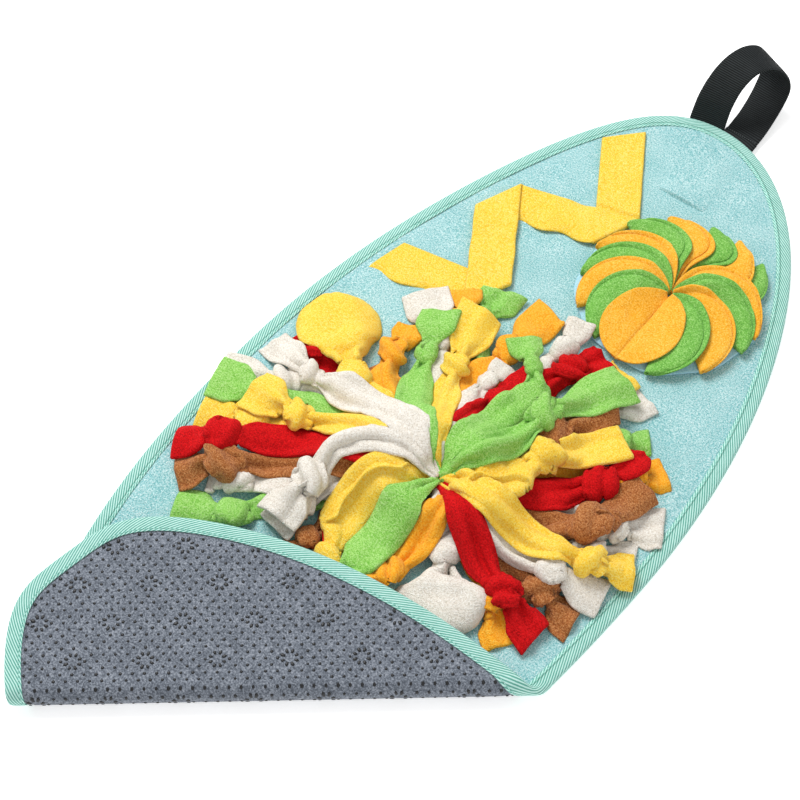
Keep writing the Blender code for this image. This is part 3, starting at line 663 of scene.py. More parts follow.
def refine_crease(item):
    """Make the mesh fine round the crease, press it in and raise its far bank in a sharp step."""
    start, end = CREASE_ENDS
    length = np.linalg.norm(end - start)
    ahead = (end - start) / length
    bm = bmesh.new()
    bm.from_mesh(item.data)

    def off(vertex):
        """A point's distance from the crease, its signed distance across and its share along."""
        place = np.array(vertex.co[:2]) - start
        walk = float(place @ ahead)
        across = float(place @ np.array([-ahead[1], ahead[0]]))
        beyond = max(-walk, walk - length, 0)
        return math.hypot(beyond, across), across, walk / length

    for reach, cuts in CREASE_CUTS:
        near = [edge for edge in bm.edges
                if all(v.co.z > FACE_LEVEL and off(v)[0] < reach for v in edge.verts)]
        bmesh.ops.subdivide_edges(bm, edges=near, cuts=cuts, use_grid_fill=True)
    for vertex in bm.verts:
        if vertex.co.z > FACE_LEVEL:
            away, across, share = off(vertex)
            if away < CREASE_REACH:
                taper = math.sin(math.pi * min(max(share, 0), 1)) ** 0.5
                rise = 1 / (1 + math.exp(-min(max(across / STEP_SOFTNESS, -30), 30)))
                vertex.co.z -= CREASE_DEPTH * taper * math.exp(-(across / CREASE_WIDTH) ** 2)
                vertex.co.z += CREASE_STEP * taper * rise * math.exp(-max(across, 0) / BANK_REACH)
    bm.to_mesh(item.data)
    bm.free()
    return item


fleece = refine_crease(mat_sheet("fleece_mat", FLEECE_RIM, aqua_fleece, fleece_relief))
dress(fleece, ["mat_top"])
felt = dress(mat_sheet("felt_backing", FELT_RIM, grey_felt), ["mat_backing"])

# %% [markdown]
# ## The dots on the felt
# The felt's underside is printed with small black dots of soft PVC that keep the mat from sliding.
# They stand in staggered rows, and every 49 mm a ring of eight longer dots makes a small rosette.
# They are real bumps here, low domes of five sides joined in one mesh, because they catch the light.

# %% The grip dots
ROSETTE_PITCH = 49 * MM
DOTS_PER_PITCH = 6
ROW_STEP = ROSETTE_PITCH / math.sqrt(3) / DOTS_PER_PITCH
DOT_STEP = ROSETTE_PITCH / DOTS_PER_PITCH
DOT_RADIUS = 1.3 * MM
DOT_HEIGHT = 0.45 * MM
DOT_SCATTER = (0.85, 1.12)
PETALS = 8
PETAL_RING = 5.0 * MM
PETAL_STRETCH = 1.5
ROSETTE_CLEAR = 7.3 * MM
DOT_SIDES = 5


def dot_places():
    """Every dot as x, y, its long axis' bearing and its stretch."""
    inner = oval_ring(13.2 * MM, 360)
    rows = []
    for i in range(-90, 91):
        for j in range(-60, 61):
            x = (j + 0.5 * (i % 2)) * DOT_STEP
            rosette_x = x / ROSETTE_PITCH - 0.5 * (round(i / DOTS_PER_PITCH) % 2)
            off = math.hypot((rosette_x - round(rosette_x)) * ROSETTE_PITCH,
                             (i - round(i / DOTS_PER_PITCH) * DOTS_PER_PITCH) * ROW_STEP)
            if off > ROSETTE_CLEAR:
                rows.append((x, i * ROW_STEP, 0.0, 1.0))
            elif off < 0.1 * MM:
                for k in range(PETALS):
                    turn = math.radians(360 / PETALS * (k + 0.5))
                    rows.append((x + PETAL_RING * math.cos(turn),
                                 i * ROW_STEP + PETAL_RING * math.sin(turn), turn, PETAL_STRETCH))
    rows = np.array(rows)
    c, s = math.cos(FOLD_BEARING), math.sin(FOLD_BEARING)
    turned = np.column_stack([rows[:, 0] * c - rows[:, 1] * s, rows[:, 0] * s + rows[:, 1] * c])
    rows[:, 2] += FOLD_BEARING
    inside = np.zeros(len(rows), dtype=bool)
    # A dot is inside when a line from it to one side crosses the inner edge an odd number of times.
    for a, b in zip(inner, np.roll(inner, -1, axis=0)):
        crosses = (a[1] > turned[:, 1]) != (b[1] > turned[:, 1])
        if crosses.any():
            at = a[0] + (turned[:, 1] - a[1]) / (b[1] - a[1] + 1e-12) * (b[0] - a[0])
            inside ^= crosses & (turned[:, 0] < at)
    return np.column_stack([turned, rows[:, 2:]])[inside]


def make_dots():
    """All dots as one mesh of low five-sided domes on the felt's underside."""
    places = dot_places()
    scatter = np.random.default_rng(5).uniform(*DOT_SCATTER, len(places))
    points, faces = [], []
    for (x, y, turn, stretch), size in zip(places, scatter):
        base = len(points)
        for share, height in ((1.0, -0.05), (0.72, 0.7)):
            for k in range(DOT_SIDES):
                a = 2 * math.pi * k / DOT_SIDES
                u = DOT_RADIUS * size * share * stretch * math.cos(a)
                v = DOT_RADIUS * size * share * math.sin(a)
                points.append((x + u * math.cos(turn) - v * math.sin(turn),
                               y + u * math.sin(turn) + v * math.cos(turn), -height * DOT_HEIGHT))
        points.append((x, y, -DOT_HEIGHT))
        for k in range(DOT_SIDES):
            m = (k + 1) % DOT_SIDES
            faces.append((base + k, base + m, base + DOT_SIDES + m, base + DOT_SIDES + k))
            faces.append((base + DOT_SIDES + k, base + DOT_SIDES + m, base + 2 * DOT_SIDES))
        faces.append(tuple(base + k for k in reversed(range(DOT_SIDES))))
    folded = fold_over(points)
    folded[:, 2] = np.maximum(folded[:, 2], 0.02 * MM)
    print(len(places), "dots")
    return make_object("grip_dots", folded, faces, pvc_dot)


dots = make_dots()
dress(dots)

# %% [markdown]
# ## The binding
# A tape is folded round the raw edges and sewn through with one row of stitches near its inner
# edge. It is a channel in section. Sweeping that section round the oval gives the tape; its map
# runs along and across it, so the twill follows every curve.

# %% The binding tape
BINDING_STATIONS = 1000
PUCKERS = 90
PUCKER_HEIGHT = 0.12 * MM
# The channel's section as inset and height in millimetres, from the lower lip round to the upper.
CHANNEL = ((11.6, 0.95), (11.55, 0.25), (11.0, 0.03), (9.8, 0.16), (8.6, 0.0), (5.0, 0.0), (2.0, 0.05),
           (0.7, 0.45), (0.1, 1.4), (0.0, 2.95), (0.1, 4.5), (0.7, 5.45), (2.0, 5.85), (5.0, 5.9),
           (8.6, 5.9), (9.8, 5.72), (11.0, 5.87), (11.55, 5.6), (11.6, 4.95), (9.0, 4.9), (1.4, 4.9),
           (1.0, 2.95), (1.4, 1.0), (9.0, 1.0))


def weld(item):
    """Join points that lie on each other and turn every face outward."""
    bm = bmesh.new()
    bm.from_mesh(item.data)
    bmesh.ops.remove_doubles(bm, verts=bm.verts, dist=0.01 * MM)
    bmesh.ops.recalc_face_normals(bm, faces=bm.faces)
    bm.to_mesh(item.data)
    bm.free()
    return item


def make_tape():
    """The channel swept round the oval, with a map in metres."""
    stations = np.arange(BINDING_STATIONS + 1)
    pucker = PUCKER_HEIGHT * np.sin(stations * 2 * math.pi * PUCKERS / BINDING_STATIONS)
    grid = np.zeros((BINDING_STATIONS + 1, len(CHANNEL), 3))
    for j, (inset, height) in enumerate(CHANNEL):
        ring = oval_ring(inset * MM, BINDING_STATIONS)
        grid[:, j, :2] = np.vstack([ring, ring[:1]])
        grid[:, j, 2] = height * MM + (pucker if inset > 9 and height > 5 else 0)
    edge = oval_ring(0, BINDING_STATIONS)
    along = distances(np.vstack([edge, edge[:1]]))
    across = distances(np.array(CHANNEL) * MM)
    uv = np.stack(np.meshgrid(along, across, indexing="ij"), axis=-1).reshape(-1, 2)
    faces = ring_faces(BINDING_STATIONS + 1, len(CHANNEL))
    tape = weld(make_object("binding_tape", grid.reshape(-1, 3), faces, mint_twill, uv=uv))
    return roll_fold(tape), along[-1]


tape, tape_length = make_tape()
dress(tape, ["binding"])
print("tape", round(tape_length, 3), "m long")

# %% [markdown]
# ## The binding's stitches
# The thread shows as a row of short stitches on both faces of the tape. Each is a capsule of thread
# that dips into the cloth at its ends, and all of them are one mesh.

# %% The stitches of the binding
STITCH_INSET = 9.8
STITCH_PITCH = 3.2 * MM
STITCH_RADIUS = 0.3 * MM
STITCH_SIDES = 5


def stitch_row(starts, ends, ups):
    """Points and faces of small thread capsules between pairs of points."""
    points, faces = [], []
    for a, b, up in zip(starts, ends, ups):
        ahead = unit(b - a)
        side = np.cross(up, ahead)
        base = len(points)
        for place, width in ((0.0, 0.45), (0.2, 1.0), (0.8, 1.0), (1.0, 0.45)):
            lift = 0.35 if width == 1.0 else -0.35
            for k in range(STITCH_SIDES):
                turn = 2 * math.pi * k / STITCH_SIDES
                away = side * math.cos(turn) + up * (math.sin(turn) + lift)
                points.append(a + (b - a) * place + away * STITCH_RADIUS * width)
        for ring in range(base, base + 3 * STITCH_SIDES, STITCH_SIDES):
            for k in range(STITCH_SIDES):
                m = (k + 1) % STITCH_SIDES
                faces.append((ring + k, ring + m, ring + STITCH_SIDES + m, ring + STITCH_SIDES + k))
        faces.append(tuple(base + k for k in range(STITCH_SIDES)))
        faces.append(tuple(base + 3 * STITCH_SIDES + k for k in range(STITCH_SIDES)))
    return np.array(points), faces


def make_binding_stitches(tape_length):
    """One row of stitches on the upper and one on the lower face of the tape."""
    count = int(tape_length / STITCH_PITCH)
    ring = oval_ring(STITCH_INSET * MM, count * 4)
    points, faces = [], []
    for height, sense in ((5.80 * MM, 1), (0.12 * MM, -1)):
        first, last = ring[::4], ring[3::4]
        flat_a = np.column_stack([first, np.full(count, height)])
        flat_b = np.column_stack([last, np.full(count, height)])
        above = fold_over(flat_a + [0, 0, sense * 1.0 * MM])
        a, b = fold_over(flat_a), fold_over(flat_b)
        row_points, row_faces = stitch_row(a, b, unit(above - a))
        faces += [tuple(f + len(points) for f in face) for face in row_faces]
        points = list(points) + list(row_points)
    points = np.array(points)
    points[:, 2] = np.maximum(points[:, 2], 0.01 * MM)
    return make_object("binding_stitches", points, faces, mint_thread)


binding_stitches = dress(make_binding_stitches(tape_length))
print("stitches of the binding:", 2 * int(tape_length / STITCH_PITCH))

# %% [markdown]
# ## The hanging loop
# The loop is one piece of nylon webbing whose two ends are sewn side by side into the rim. It rises,
# turns over and comes down flat. Webbing is stiff across and bends only along its length, so it is a
# strip swept along a smooth curve, its width along X at the rim and leaning to one side at the top.
# Both ends are cut along the oval's edge, so that the seam holds their whole width. A sewn bar
# crosses the flat leg.

# %% The webbing loop
STRAP_WIDTH = 29 * MM
STRAP_THICKNESS = 1.8 * MM
STRAP_END_Y = HALF_LENGTH + 0.3 * MM
STRAP_ROWS = 150
STRAP_COLUMNS = 21
# Each row is a point of the strap's middle line: x, y past the strap's end and z in millimetres,
# and how far the width leans there in degrees.
STRAP_ROUTE = (
    (-15.5, 0, 3.2, 0), (-16.0, 3, 12, 0), (-15.5, 7, 27, 0), (-13.5, 15, 42.5, 0), (-9.0, 27, 53.5, 3),
    (-3.0, 41, 55.0, 15), (3.0, 53, 48.0, 26), (7.5, 60, 35, 26), (9.5, 58.5, 22, 12), (11.5, 46, 13, 0),
    (13.5, 28, 7.8, -3), (14.5, 12, 5.5, 0), (14.5, 0, 3.2, 0),
)
STRAP_FOOT = 12 * MM
BAR_PLACE = 0.972
TURNED_END = 1.1 * MM
BAR_STITCHES = 14


def make_loop():
    """The webbing strip, with a map in metres and softly rounded selvedges."""
    rows, length = spline(STRAP_ROUTE, STRAP_ROWS)
    line, length = rows[:, :3] * MM + [0, STRAP_END_Y, 0], length * MM
    tilt = np.radians(rows[:, 3])
    across = np.column_stack([np.cos(tilt), 0 * tilt, -np.sin(tilt)])
    thick = unit(np.cross(across, np.gradient(line, axis=0)))
    shares = np.linspace(-0.5, 0.5, STRAP_COLUMNS)
    crown = 1 - 0.25 * np.abs(shares * 2) ** 8
    middle = line[:, None] + shares[:, None] * STRAP_WIDTH * across[:, None]
    half = thick[:, None] * crown[:, None] * STRAP_THICKNESS / 2
    doubled = np.linspace(0, 1, STRAP_ROWS) > BAR_PLACE
    face, reverse = middle + half, middle - half - (thick * doubled[:, None] * TURNED_END)[:, None]
    edge = oval_edge(np.linspace(0.9, 0.1, 400) * math.pi)
    for grid in (face, reverse):
        grid[..., 1] = np.maximum(grid[..., 1], STRAP_END_Y - 0.2 * MM)
        short = HALF_LENGTH - np.interp(grid[..., 0], edge[:, 0], edge[:, 1])
        grid[..., 1] -= short * np.clip(1 - (grid[..., 1] - STRAP_END_Y) / STRAP_FOOT, 0, 1)
    points, faces = ribbon_skin(face, reverse)
    # The map runs across the face, round one selvedge, back across the reverse and round the other.
    along = np.linspace(0, length, STRAP_ROWS)
    round_trip = np.concatenate([shares, [0.52], shares[::-1] + 1.1, [-0.52]]) * STRAP_WIDTH
    uv = np.concatenate([np.stack(np.meshgrid(along, round_trip, indexing="ij"), axis=-1).reshape(-1, 2),
                         np.column_stack([np.zeros(STRAP_COLUMNS), shares * STRAP_WIDTH]),
                         np.column_stack([np.full(STRAP_COLUMNS, length), shares * STRAP_WIDTH])])
    return make_object("webbing_loop", points, faces, black_webbing, uv=uv), length, line, thick


loop, loop_length, loop_line, loop_thick = make_loop()
dress(loop, ["hang_loop"])
at = int(BAR_PLACE * len(loop_line)) + 1
bar_middle = loop_line[at] - loop_thick[at] * (STRAP_THICKNESS / 2 + TURNED_END + STITCH_RADIUS)
places = bar_middle + np.linspace(-0.46, 0.46, 2 * BAR_STITCHES)[:, None] * [STRAP_WIDTH, 0, 0]
bar_stitches = stitch_row(places[::2], places[1::2], [-loop_thick[at]] * BAR_STITCHES)
bar = make_object("webbing_stitches", *bar_stitches, grey_thread)
dress(bar)
print("webbing", round(loop_length / MM), "mm long")

# %% [markdown]
# ## The zigzag strip
# A straight strip of fleece is folded over itself at three corners and sewn only at its ends, so its
# long edges stand a little loose. It is made the way it is on the real mat: a flat strip is cut
# across each fold line, its edges get their waves, and the folds are then applied from the last
# back to the first. A fold's line on the flat strip leans by half the angle that the strip turns.

# %% Where the flat strip folds
ZIGZAG_CORNERS = ((-61.5, 343), (-8.5, 256), (-105.5, 229.5), (-51.5, 143), (-141, 125))
ZIGZAG_SENSES = (1, -1, -1)
ZIGZAG_WIDTH = 34.0
ZIGZAG_THICKNESS = 2.0
ZIGZAG_RADIUS = 2.3


def zigzag_folds():
    """Each fold of the flat strip: its place, its lean and its sense, and the strip's length."""
    corners = np.array(ZIGZAG_CORNERS, dtype=float)
    legs = np.diff(corners, axis=0)
    lengths = np.linalg.norm(legs, axis=1)
    bearings = np.arctan2(legs[:, 1], legs[:, 0])
    folds = []
    for i, sense in enumerate(ZIGZAG_SENSES):
        turn = (bearings[i + 1] - bearings[i] + math.pi) % (2 * math.pi) - math.pi
        folds.append((lengths[:i + 1].sum(), turn / 2 if i % 2 == 0 else -turn / 2, sense))
    return folds, lengths.sum(), bearings[0]


print("folds at", [round(float(fold[0])) for fold in zigzag_folds()[0]], "mm along the strip")

# %% Folding and pressing a flat strip
def roll_strip(points, place, lean, sense, passed):
    """Fold the strip's points about one line; the points past a later fold go over stiffly."""
    normal = np.array([-math.sin(lean), math.cos(lean)])
    normal *= math.copysign(1, normal[0])
    s = (points[:, 0] - place) * normal[0] + points[:, 1] * normal[1]
    middle = ZIGZAG_RADIUS - ZIGZAG_THICKNESS / 2
    curl = middle * math.pi
    level = points[:, 2] if sense > 0 else ZIGZAG_THICKNESS - points[:, 2]
    angle = np.clip(s / middle, 0, math.pi)
    angle[passed] = math.pi
    past = np.where(passed, s - curl, np.maximum(s - curl, 0))
    along = (ZIGZAG_RADIUS - level) * np.sin(angle) - past
    up = ZIGZAG_RADIUS - (ZIGZAG_RADIUS - level) * np.cos(angle)
    moved = passed | (s > 0)
    result = points.copy()
    result[:, 0] += np.where(moved, (along - s) * normal[0], 0)
    result[:, 1] += np.where(moved, (along - s) * normal[1], 0)
    new = up if sense > 0 else ZIGZAG_THICKNESS - up
    result[:, 2] = np.where(moved, new, points[:, 2])
    return result, moved


def pressed_seam(flat, shaped, first_fold):
    """Where the second leg lies on the first, the first is pressed in and swells up beside it."""
    corner, following = np.array(ZIGZAG_CORNERS[1]), np.array(ZIGZAG_CORNERS[2])
    start = np.array(ZIGZAG_CORNERS[0])
    ahead = unit(corner - start)
    plan = start + shaped[:, :1] * ahead + shaped[:, 1:2] * np.array([-ahead[1], ahead[0]])
    leg = unit(following - corner)
    outward = np.array([leg[1], -leg[0]]) if leg[0] < 0 else np.array([-leg[1], leg[0]])
    outward = outward * np.sign(outward[1])
    beyond = (plan - corner) @ outward - ZIGZAG_WIDTH / 2
    dent = -1.2 * np.exp(-((beyond - 1.4) / 1.3) ** 2)
    bank = 1.3 * np.clip((beyond - 1.4) / 2.0, 0, 1) * np.exp(-np.clip(beyond - 3.4, 0, None) / 7)
    return np.where(flat[:, 0] < first_fold + 12, dent + bank, 0)


# %% The zigzag strip
ZIGZAG_STEPS = 7
ZIGZAG_ROWS = 260
ZIGZAG_COLUMNS = 25
RAMP_MARGIN = 26.0
# Both ends are slanted: how far, and how far along the strip that reaches.
END_SLANT, END_REACH = -15.0, 70
TOP_SLANT, TOP_REACH = -10.0, 60
# Each row is a loose edge: where it starts and ends along the strip, its side, how far it lifts
# and how far it swings sideways, all in millimetres.
LOOSE_EDGES = (
    (116, 196, -1, 4.0, 2.4),
    (106, 152, 1, 2.6, 0.2),
    (325, 408, -1, 4.5, 2.2),
    (20, 90, 1, 1.2, 0.1),
    (222, 300, 1, 1.4, 0.4),
    (222, 300, -1, 1.4, 0.4),
)


def thicken(middle, thickness):
    """The face and back grids of a sheet from the grid of its middle."""
    along = np.gradient(middle, axis=0)
    across = np.gradient(middle, axis=1)
    normal = unit(np.cross(along, across))
    return middle + normal * thickness / 2, middle - normal * thickness / 2


def make_zigzag():
    """The strip, cut flat, waved at its loose edges and folded at its corners."""
    folds, length, first_bearing = zigzag_folds()
    u = np.linspace(0, length, ZIGZAG_ROWS)
    v = np.linspace(-1, 1, ZIGZAG_COLUMNS) * ZIGZAG_WIDTH / 2
    middle = np.stack(np.meshgrid(u, v, indexing="ij"), axis=-1)
    middle = np.concatenate([middle, np.full(middle.shape[:2] + (1,), ZIGZAG_THICKNESS / 2)], axis=-1)
    points, faces = ribbon_skin(*thicken(middle, ZIGZAG_THICKNESS))
    bm = bmesh.new()
    made = [bm.verts.new(p) for p in points]
    for face in faces:
        bm.faces.new([made[k] for k in face])
    curl = (ZIGZAG_RADIUS - ZIGZAG_THICKNESS / 2) * math.pi
    for place, lean, _ in folds:
        normal = Vector((-math.sin(lean), math.cos(lean), 0))
        normal *= math.copysign(1, normal.x)
        for i in range(ZIGZAG_STEPS + 1):
            everything = bm.verts[:] + bm.edges[:] + bm.faces[:]
            spot = Vector((place, 0, 0)) + normal * curl * i / ZIGZAG_STEPS
            bmesh.ops.bisect_plane(bm, geom=everything, dist=0.01, plane_co=spot, plane_no=normal)
    flat = np.array([v.co[:] for v in bm.verts])
    shaped = flat.copy()
    near_end = np.clip((flat[:, 0] - (length - END_REACH)) / END_REACH, 0, 1) ** 2
    top_end = np.clip((TOP_REACH - flat[:, 0]) / TOP_REACH, 0, 1) ** 2
    shaped[:, 0] += (near_end * END_SLANT + top_end * TOP_SLANT) * (flat[:, 1] / ZIGZAG_WIDTH)
    for start, end, side, lift, swing in LOOSE_EDGES:
        share = np.clip((flat[:, 0] - start) / (end - start), 0, 1)
        fade = np.sin(math.pi * share) ** 0.7
        edge = np.clip((side * flat[:, 1] - 3) / (ZIGZAG_WIDTH / 2 - 3), 0, 1) ** 2
        wave = 0.55 + 0.45 * np.sin(2 * math.pi * share * 1.6 + 0.6 * side)
        shaped[:, 2] += lift * fade * edge * wave
        shaped[:, 1] += side * swing * fade * edge * np.sin(2 * math.pi * share * 2.2)
    shaped[:, 2] += pressed_seam(flat, shaped, folds[0][0])
    passed = np.zeros(len(shaped), dtype=bool)
    for place, lean, sense in reversed(folds):
        shaped, moved = roll_strip(shaped, place, lean, sense, passed)
        passed |= moved
    ramp_start, ramp_end = folds[0][0] + RAMP_MARGIN, folds[1][0] - RAMP_MARGIN
    ramp_share = np.clip((flat[:, 0] - ramp_start) / (ramp_end - ramp_start), 0, 1)
    down = (2 * ZIGZAG_RADIUS - ZIGZAG_THICKNESS) * ramp_share
    c, s = math.cos(first_bearing), math.sin(first_bearing)
    start = ZIGZAG_CORNERS[0]
    nap = lattice_noise(flat, 1.6, 11) * 0.12 + lattice_noise(flat, 30, 12) * 0.5
    for vert, place, fall, soft in zip(bm.verts, shaped, down, nap):
        vert.co = (MM * (start[0] + place[0] * c - place[1] * s),
                   MM * (start[1] + place[0] * s + place[1] * c),
                   FLEECE_TOP + MM * (0.7 + place[2] - fall + soft * 0.4))
    mesh = bpy.data.meshes.new("zigzag")
    bmesh.ops.recalc_face_normals(bm, faces=bm.faces)
    bm.to_mesh(mesh)
    bm.free()
    mesh.materials.append(FLEECES["yellow"])
    mesh.polygons.foreach_set("use_smooth", [True] * len(mesh.polygons))
    item = bpy.data.objects.new("zigzag_fleece", mesh)
    bpy.context.scene.collection.objects.link(item)
    return item, length


zigzag, zigzag_length = make_zigzag()
dress(zigzag, ["zigzag_strip"])
print("zigzag strip", round(zigzag_length), "mm long")

# %% [markdown]
# ## The flower
# Thirteen felt discs are folded in half and sewn by one end of their fold to the middle of a pale
# round of felt, each lapping the next like the blades of a fan; one more disc lies open in front.
# Every leaf is a row of a table that was read off the photograph.

# %% The flower's table
FLOWER_CENTRE = np.array([61.2, 227.6])
FLOWER_BASE_RADIUS = 72.5
# Each row is a ring of the base, from its middle below round the rim to its middle above: its share
# of the radius and its height in millimetres.
BASE_SECTION = ((0.0, 0.0), (0.5, 0.0), (0.985, 0.0), (1.0, 0.35),
                (1.0, 1.4), (0.985, 1.8), (0.5, 1.8), (0.0, 1.8))
FLOWER_Z = 5.2
LEAF_Z = 7.3
FELT_THICKNESS = 1.7
LAYER_GAP = 0.5
FAN_PITCH = math.radians(26)
FAN_STEP = 4.6
LEAF_PUFF = 1.8
EDGE_CURL = 0.42
PINCH_RADIUS = 2.0
LEAF_ROWS = 46
LAYER_POINTS = 18
# Each row is a folded disc: its solid, colour, size, its fold's bearing, the way it opens, its
# widest angles near the middle and further out, how many leaves it climbs over at most, how far
# its upper layer stops short, how far its tip bends aside in degrees and how far its tip lifts in
# millimetres.
LEAVES = (
    ("leaf_left_1", "green", 72.5, 252, -1, 90, 90, 9, 4.5, 0, 0.0),
    ("leaf_left_2", "orange", 73.0, 227, -1, 90, 90, 9, 4.0, 0, 0.8),
    ("leaf_left_3", "green", 71.0, 201, -1, 90, 90, 9, 6.5, 0, 0.6),
    ("leaf_left_4", "orange", 71.0, 178, -1, 80, 90, 9, 6.5, 1, 3.2),
    ("leaf_left_5", "green", 74.0, 151, -1, 46, 62, 9, 6.0, 0, 3.2),
    ("leaf_left_6", "orange", 75.0, 123, -1, 28, 44, 9, 5.5, 2, 1.2),
    ("leaf_left_7", "green", 75.0, 97, -1, 4, 32, 2.2, 5.5, 1, 1.4),
    ("leaf_left_8", "orange", 76.0, 76, -1, 10, 38, 0.0, 4.0, 3, 4.0),
    ("leaf_right_1", "green", 77.0, 290, 1, 90, 90, 3, 6.0, 0, 0.0),
    ("leaf_right_2", "orange", 75.0, 322, 1, 90, 90, 2, 4.0, 0, 0.6),
    ("leaf_right_3", "green", 74.5, 351, 1, 90, 90, 1, 5.5, 0, 0.8),
    ("leaf_right_4", "orange", 75.0, 13, 1, 90, 90, 0, 5.0, -9, 1.2),
    ("leaf_back", "green", 80.0, 60, -1, 12, 30, 0, 3.5, 0, 0.6),
)
CORNER_ROUND = 5
FRONT_DISC_SIZE = 75.5
FRONT_DISC_BEARING = 271
FRONT_DISC_SQUEEZE = 0.8
FRONT_DISC_ROWS = 60
FRONT_DISC_COLUMNS = 61
CREASE_GROOVE = 1.5
print(len(LEAVES), "folded discs in the table")

# %% [markdown]
# ## A folded leaf
# A folded disc reaches a distance of D cos(a) from the middle at an angle a from its fold, which is a
# circle through the middle. The two fans start low on the far right and climb over their
# neighbours towards the front, so a leaf's height grows with the number of leaves under it. Leaves
# that are squeezed between others show a narrower face than half a disc, so each has its widest
# angle near the middle and further out. The upper layer of a leaf stops short of the lower one,
# which gives the double line.

# %% How high a leaf lies
def pinch(radius):
    """How much of its height a leaf keeps at a distance from the middle."""
    return 0.42 + 0.58 * np.clip((radius - 3) / 24, 0, 1)


def ease(value, low=0, high=1):
    """A soft step from 0 at the low end to 1 at the high end."""
    share = np.clip((value - low) / (high - low), 0, 1)
    return share * share * (3 - 2 * share)


def flower_place(radius, bearing, height):
    """Points about the flower's middle, in metres."""
    return MM * np.stack([FLOWER_CENTRE[0] + radius * np.cos(bearing),
                          FLOWER_CENTRE[1] + radius * np.sin(bearing),
                          LEAF_Z + height * pinch(radius)], axis=-1)


def back_pair(bearing):
    """Height of the two leaves that lie under the right-hand fan, in fan steps, at a bearing."""
    degrees = (np.degrees(bearing) + 90) % 360 - 90
    return ease(degrees, 20, 32) + ease(degrees, 30, 42)


def climb(low, bearing, way, most):
    """A leaf's height over the base at an angle from its fold."""
    if way > 0:
        return FAN_STEP * (np.minimum(low / FAN_PITCH, most) + back_pair(bearing + low))
    if most == 0:
        return FAN_STEP * 0.95 * ease(np.degrees(low), 4, 16)
    return FAN_STEP * np.minimum(low / FAN_PITCH, most)


# %% One leaf
def make_leaf(name, colour, size, bearing, way, near, far, most, setback, tip_bend, tip_lift):
    """A disc folded in half: lower layer, hinge and upper layer in one sheet, and its cut size."""
    angles = np.radians(np.linspace(88, 3, LEAF_ROWS))
    radius = np.maximum(size * np.cos(angles), PINCH_RADIUS)
    widest = np.radians(near + (far - near) * ease(radius, 18, 58))
    tip_share = np.clip((radius - 0.8 * size) / (0.2 * size), 0, 1)
    cap = widest * np.where(widest < 1.5, 1 - 0.5 * tip_share ** 3, 3)
    span = ((angles ** -CORNER_ROUND + cap ** -CORNER_ROUND) ** (-1 / CORNER_ROUND))[:, None]
    radius = radius[:, None]
    short = np.minimum(setback / radius, 0.26 * span)
    layer = 1 - 0.96 * np.linspace(0, 1, LAYER_POINTS) ** 1.6
    bend = np.linspace(-math.pi / 2, math.pi / 2, 5)[1:-1]
    rise = (FELT_THICKNESS + LAYER_GAP) / 2
    low = np.concatenate([layer * span, np.repeat(0.02 * span, 3, axis=1),
                          layer[::-1] * (span - short)], axis=1)
    flat_layer = np.zeros((LEAF_ROWS, LAYER_POINTS))
    height = np.concatenate([flat_layer, np.tile(rise + rise * np.sin(bend), (LEAF_ROWS, 1)),
                             flat_layer + 2 * rise], axis=1)
    share = np.concatenate([layer, np.zeros(3), layer[::-1]])
    # The lower layer curls up past the upper one's edge, and the upper one's edge is pressed down.
    past = ((layer - 1) * span + short) * radius
    lip = np.concatenate([EDGE_CURL * setback * ease(past, 0.4, 0.7 * setback), np.zeros((LEAF_ROWS, 3)),
                          -0.5 * ease(layer[::-1] + 0 * span, 0.9, 1.0)], axis=1)
    tip = np.clip((radius - 42) / 30, 0, 1) ** 2
    wander = lattice_noise(np.stack([radius + 0 * low, low * radius, 0 * low + bearing], axis=-1), 15, 21)
    puff = LEAF_PUFF * np.sin(math.pi * np.clip(share, 0, 1)) ** 0.7 * np.clip((radius - 8) / 20, 0, 1)
    puff[:, :LAYER_POINTS + 3] *= 0.2
    level = climb(low, math.radians(bearing), way, most) if name != "leaf_back" else 0 * low
    height = height + level + FELT_THICKNESS / 2 + lip + tip_lift * tip + 0.4 * wander + puff
    turn = math.radians(bearing) + way * low + math.radians(tip_bend) * tip
    middle = flower_place(radius, turn, height)
    grid = middle if way > 0 else middle[:, ::-1]
    points, faces = ribbon_skin(*thicken(grid, FELT_THICKNESS * MM))
    r, s = radius[:, 0], span[:, 0]
    cut_area = 2 * float(np.sum((s[1:] * r[1:] + s[:-1] * r[:-1]) / 2 * np.diff(r)))
    cut_width = 2 * float(np.max(r * np.sin(s)))
    return make_object("felt_" + name, points, faces, FELTS[colour]), cut_area, cut_width


# %% The open disc and the base
def make_front_disc():
    """The open disc in front, a crease pressed in along its fold and a few soft dents."""
    angles = np.radians(np.linspace(88, 3, FRONT_DISC_ROWS))
    radius = np.maximum(FRONT_DISC_SIZE * np.cos(angles), PINCH_RADIUS)[:, None]
    share = np.linspace(-1, 1, FRONT_DISC_COLUMNS)
    widest = np.minimum(angles, math.radians(86))[:, None]
    turn = share * np.where(share < 0, 0.93, 1) * FRONT_DISC_SQUEEZE * widest
    level = FAN_STEP * (0.25 + np.abs(turn) / FAN_PITCH)
    soft = 1.1 * lattice_noise(np.stack([radius + 0 * turn, turn * radius, 0 * turn], axis=-1), 15, 31)
    dent = 1.8 * np.exp(-(((radius - 38) / 6) ** 2 + ((turn * radius + 14) / 9) ** 2))
    groove = CREASE_GROOVE * np.exp(-np.abs(turn * radius) / 1.6) * ease(radius, 6, 20)
    height = level + FELT_THICKNESS / 2 + 1.4 + soft - dent - groove
    middle = flower_place(radius, math.radians(FRONT_DISC_BEARING) + turn, height)
    points, faces = ribbon_skin(*thicken(middle, FELT_THICKNESS * MM))
    return make_object("felt_disc_front", points, faces, FELTS["orange"])


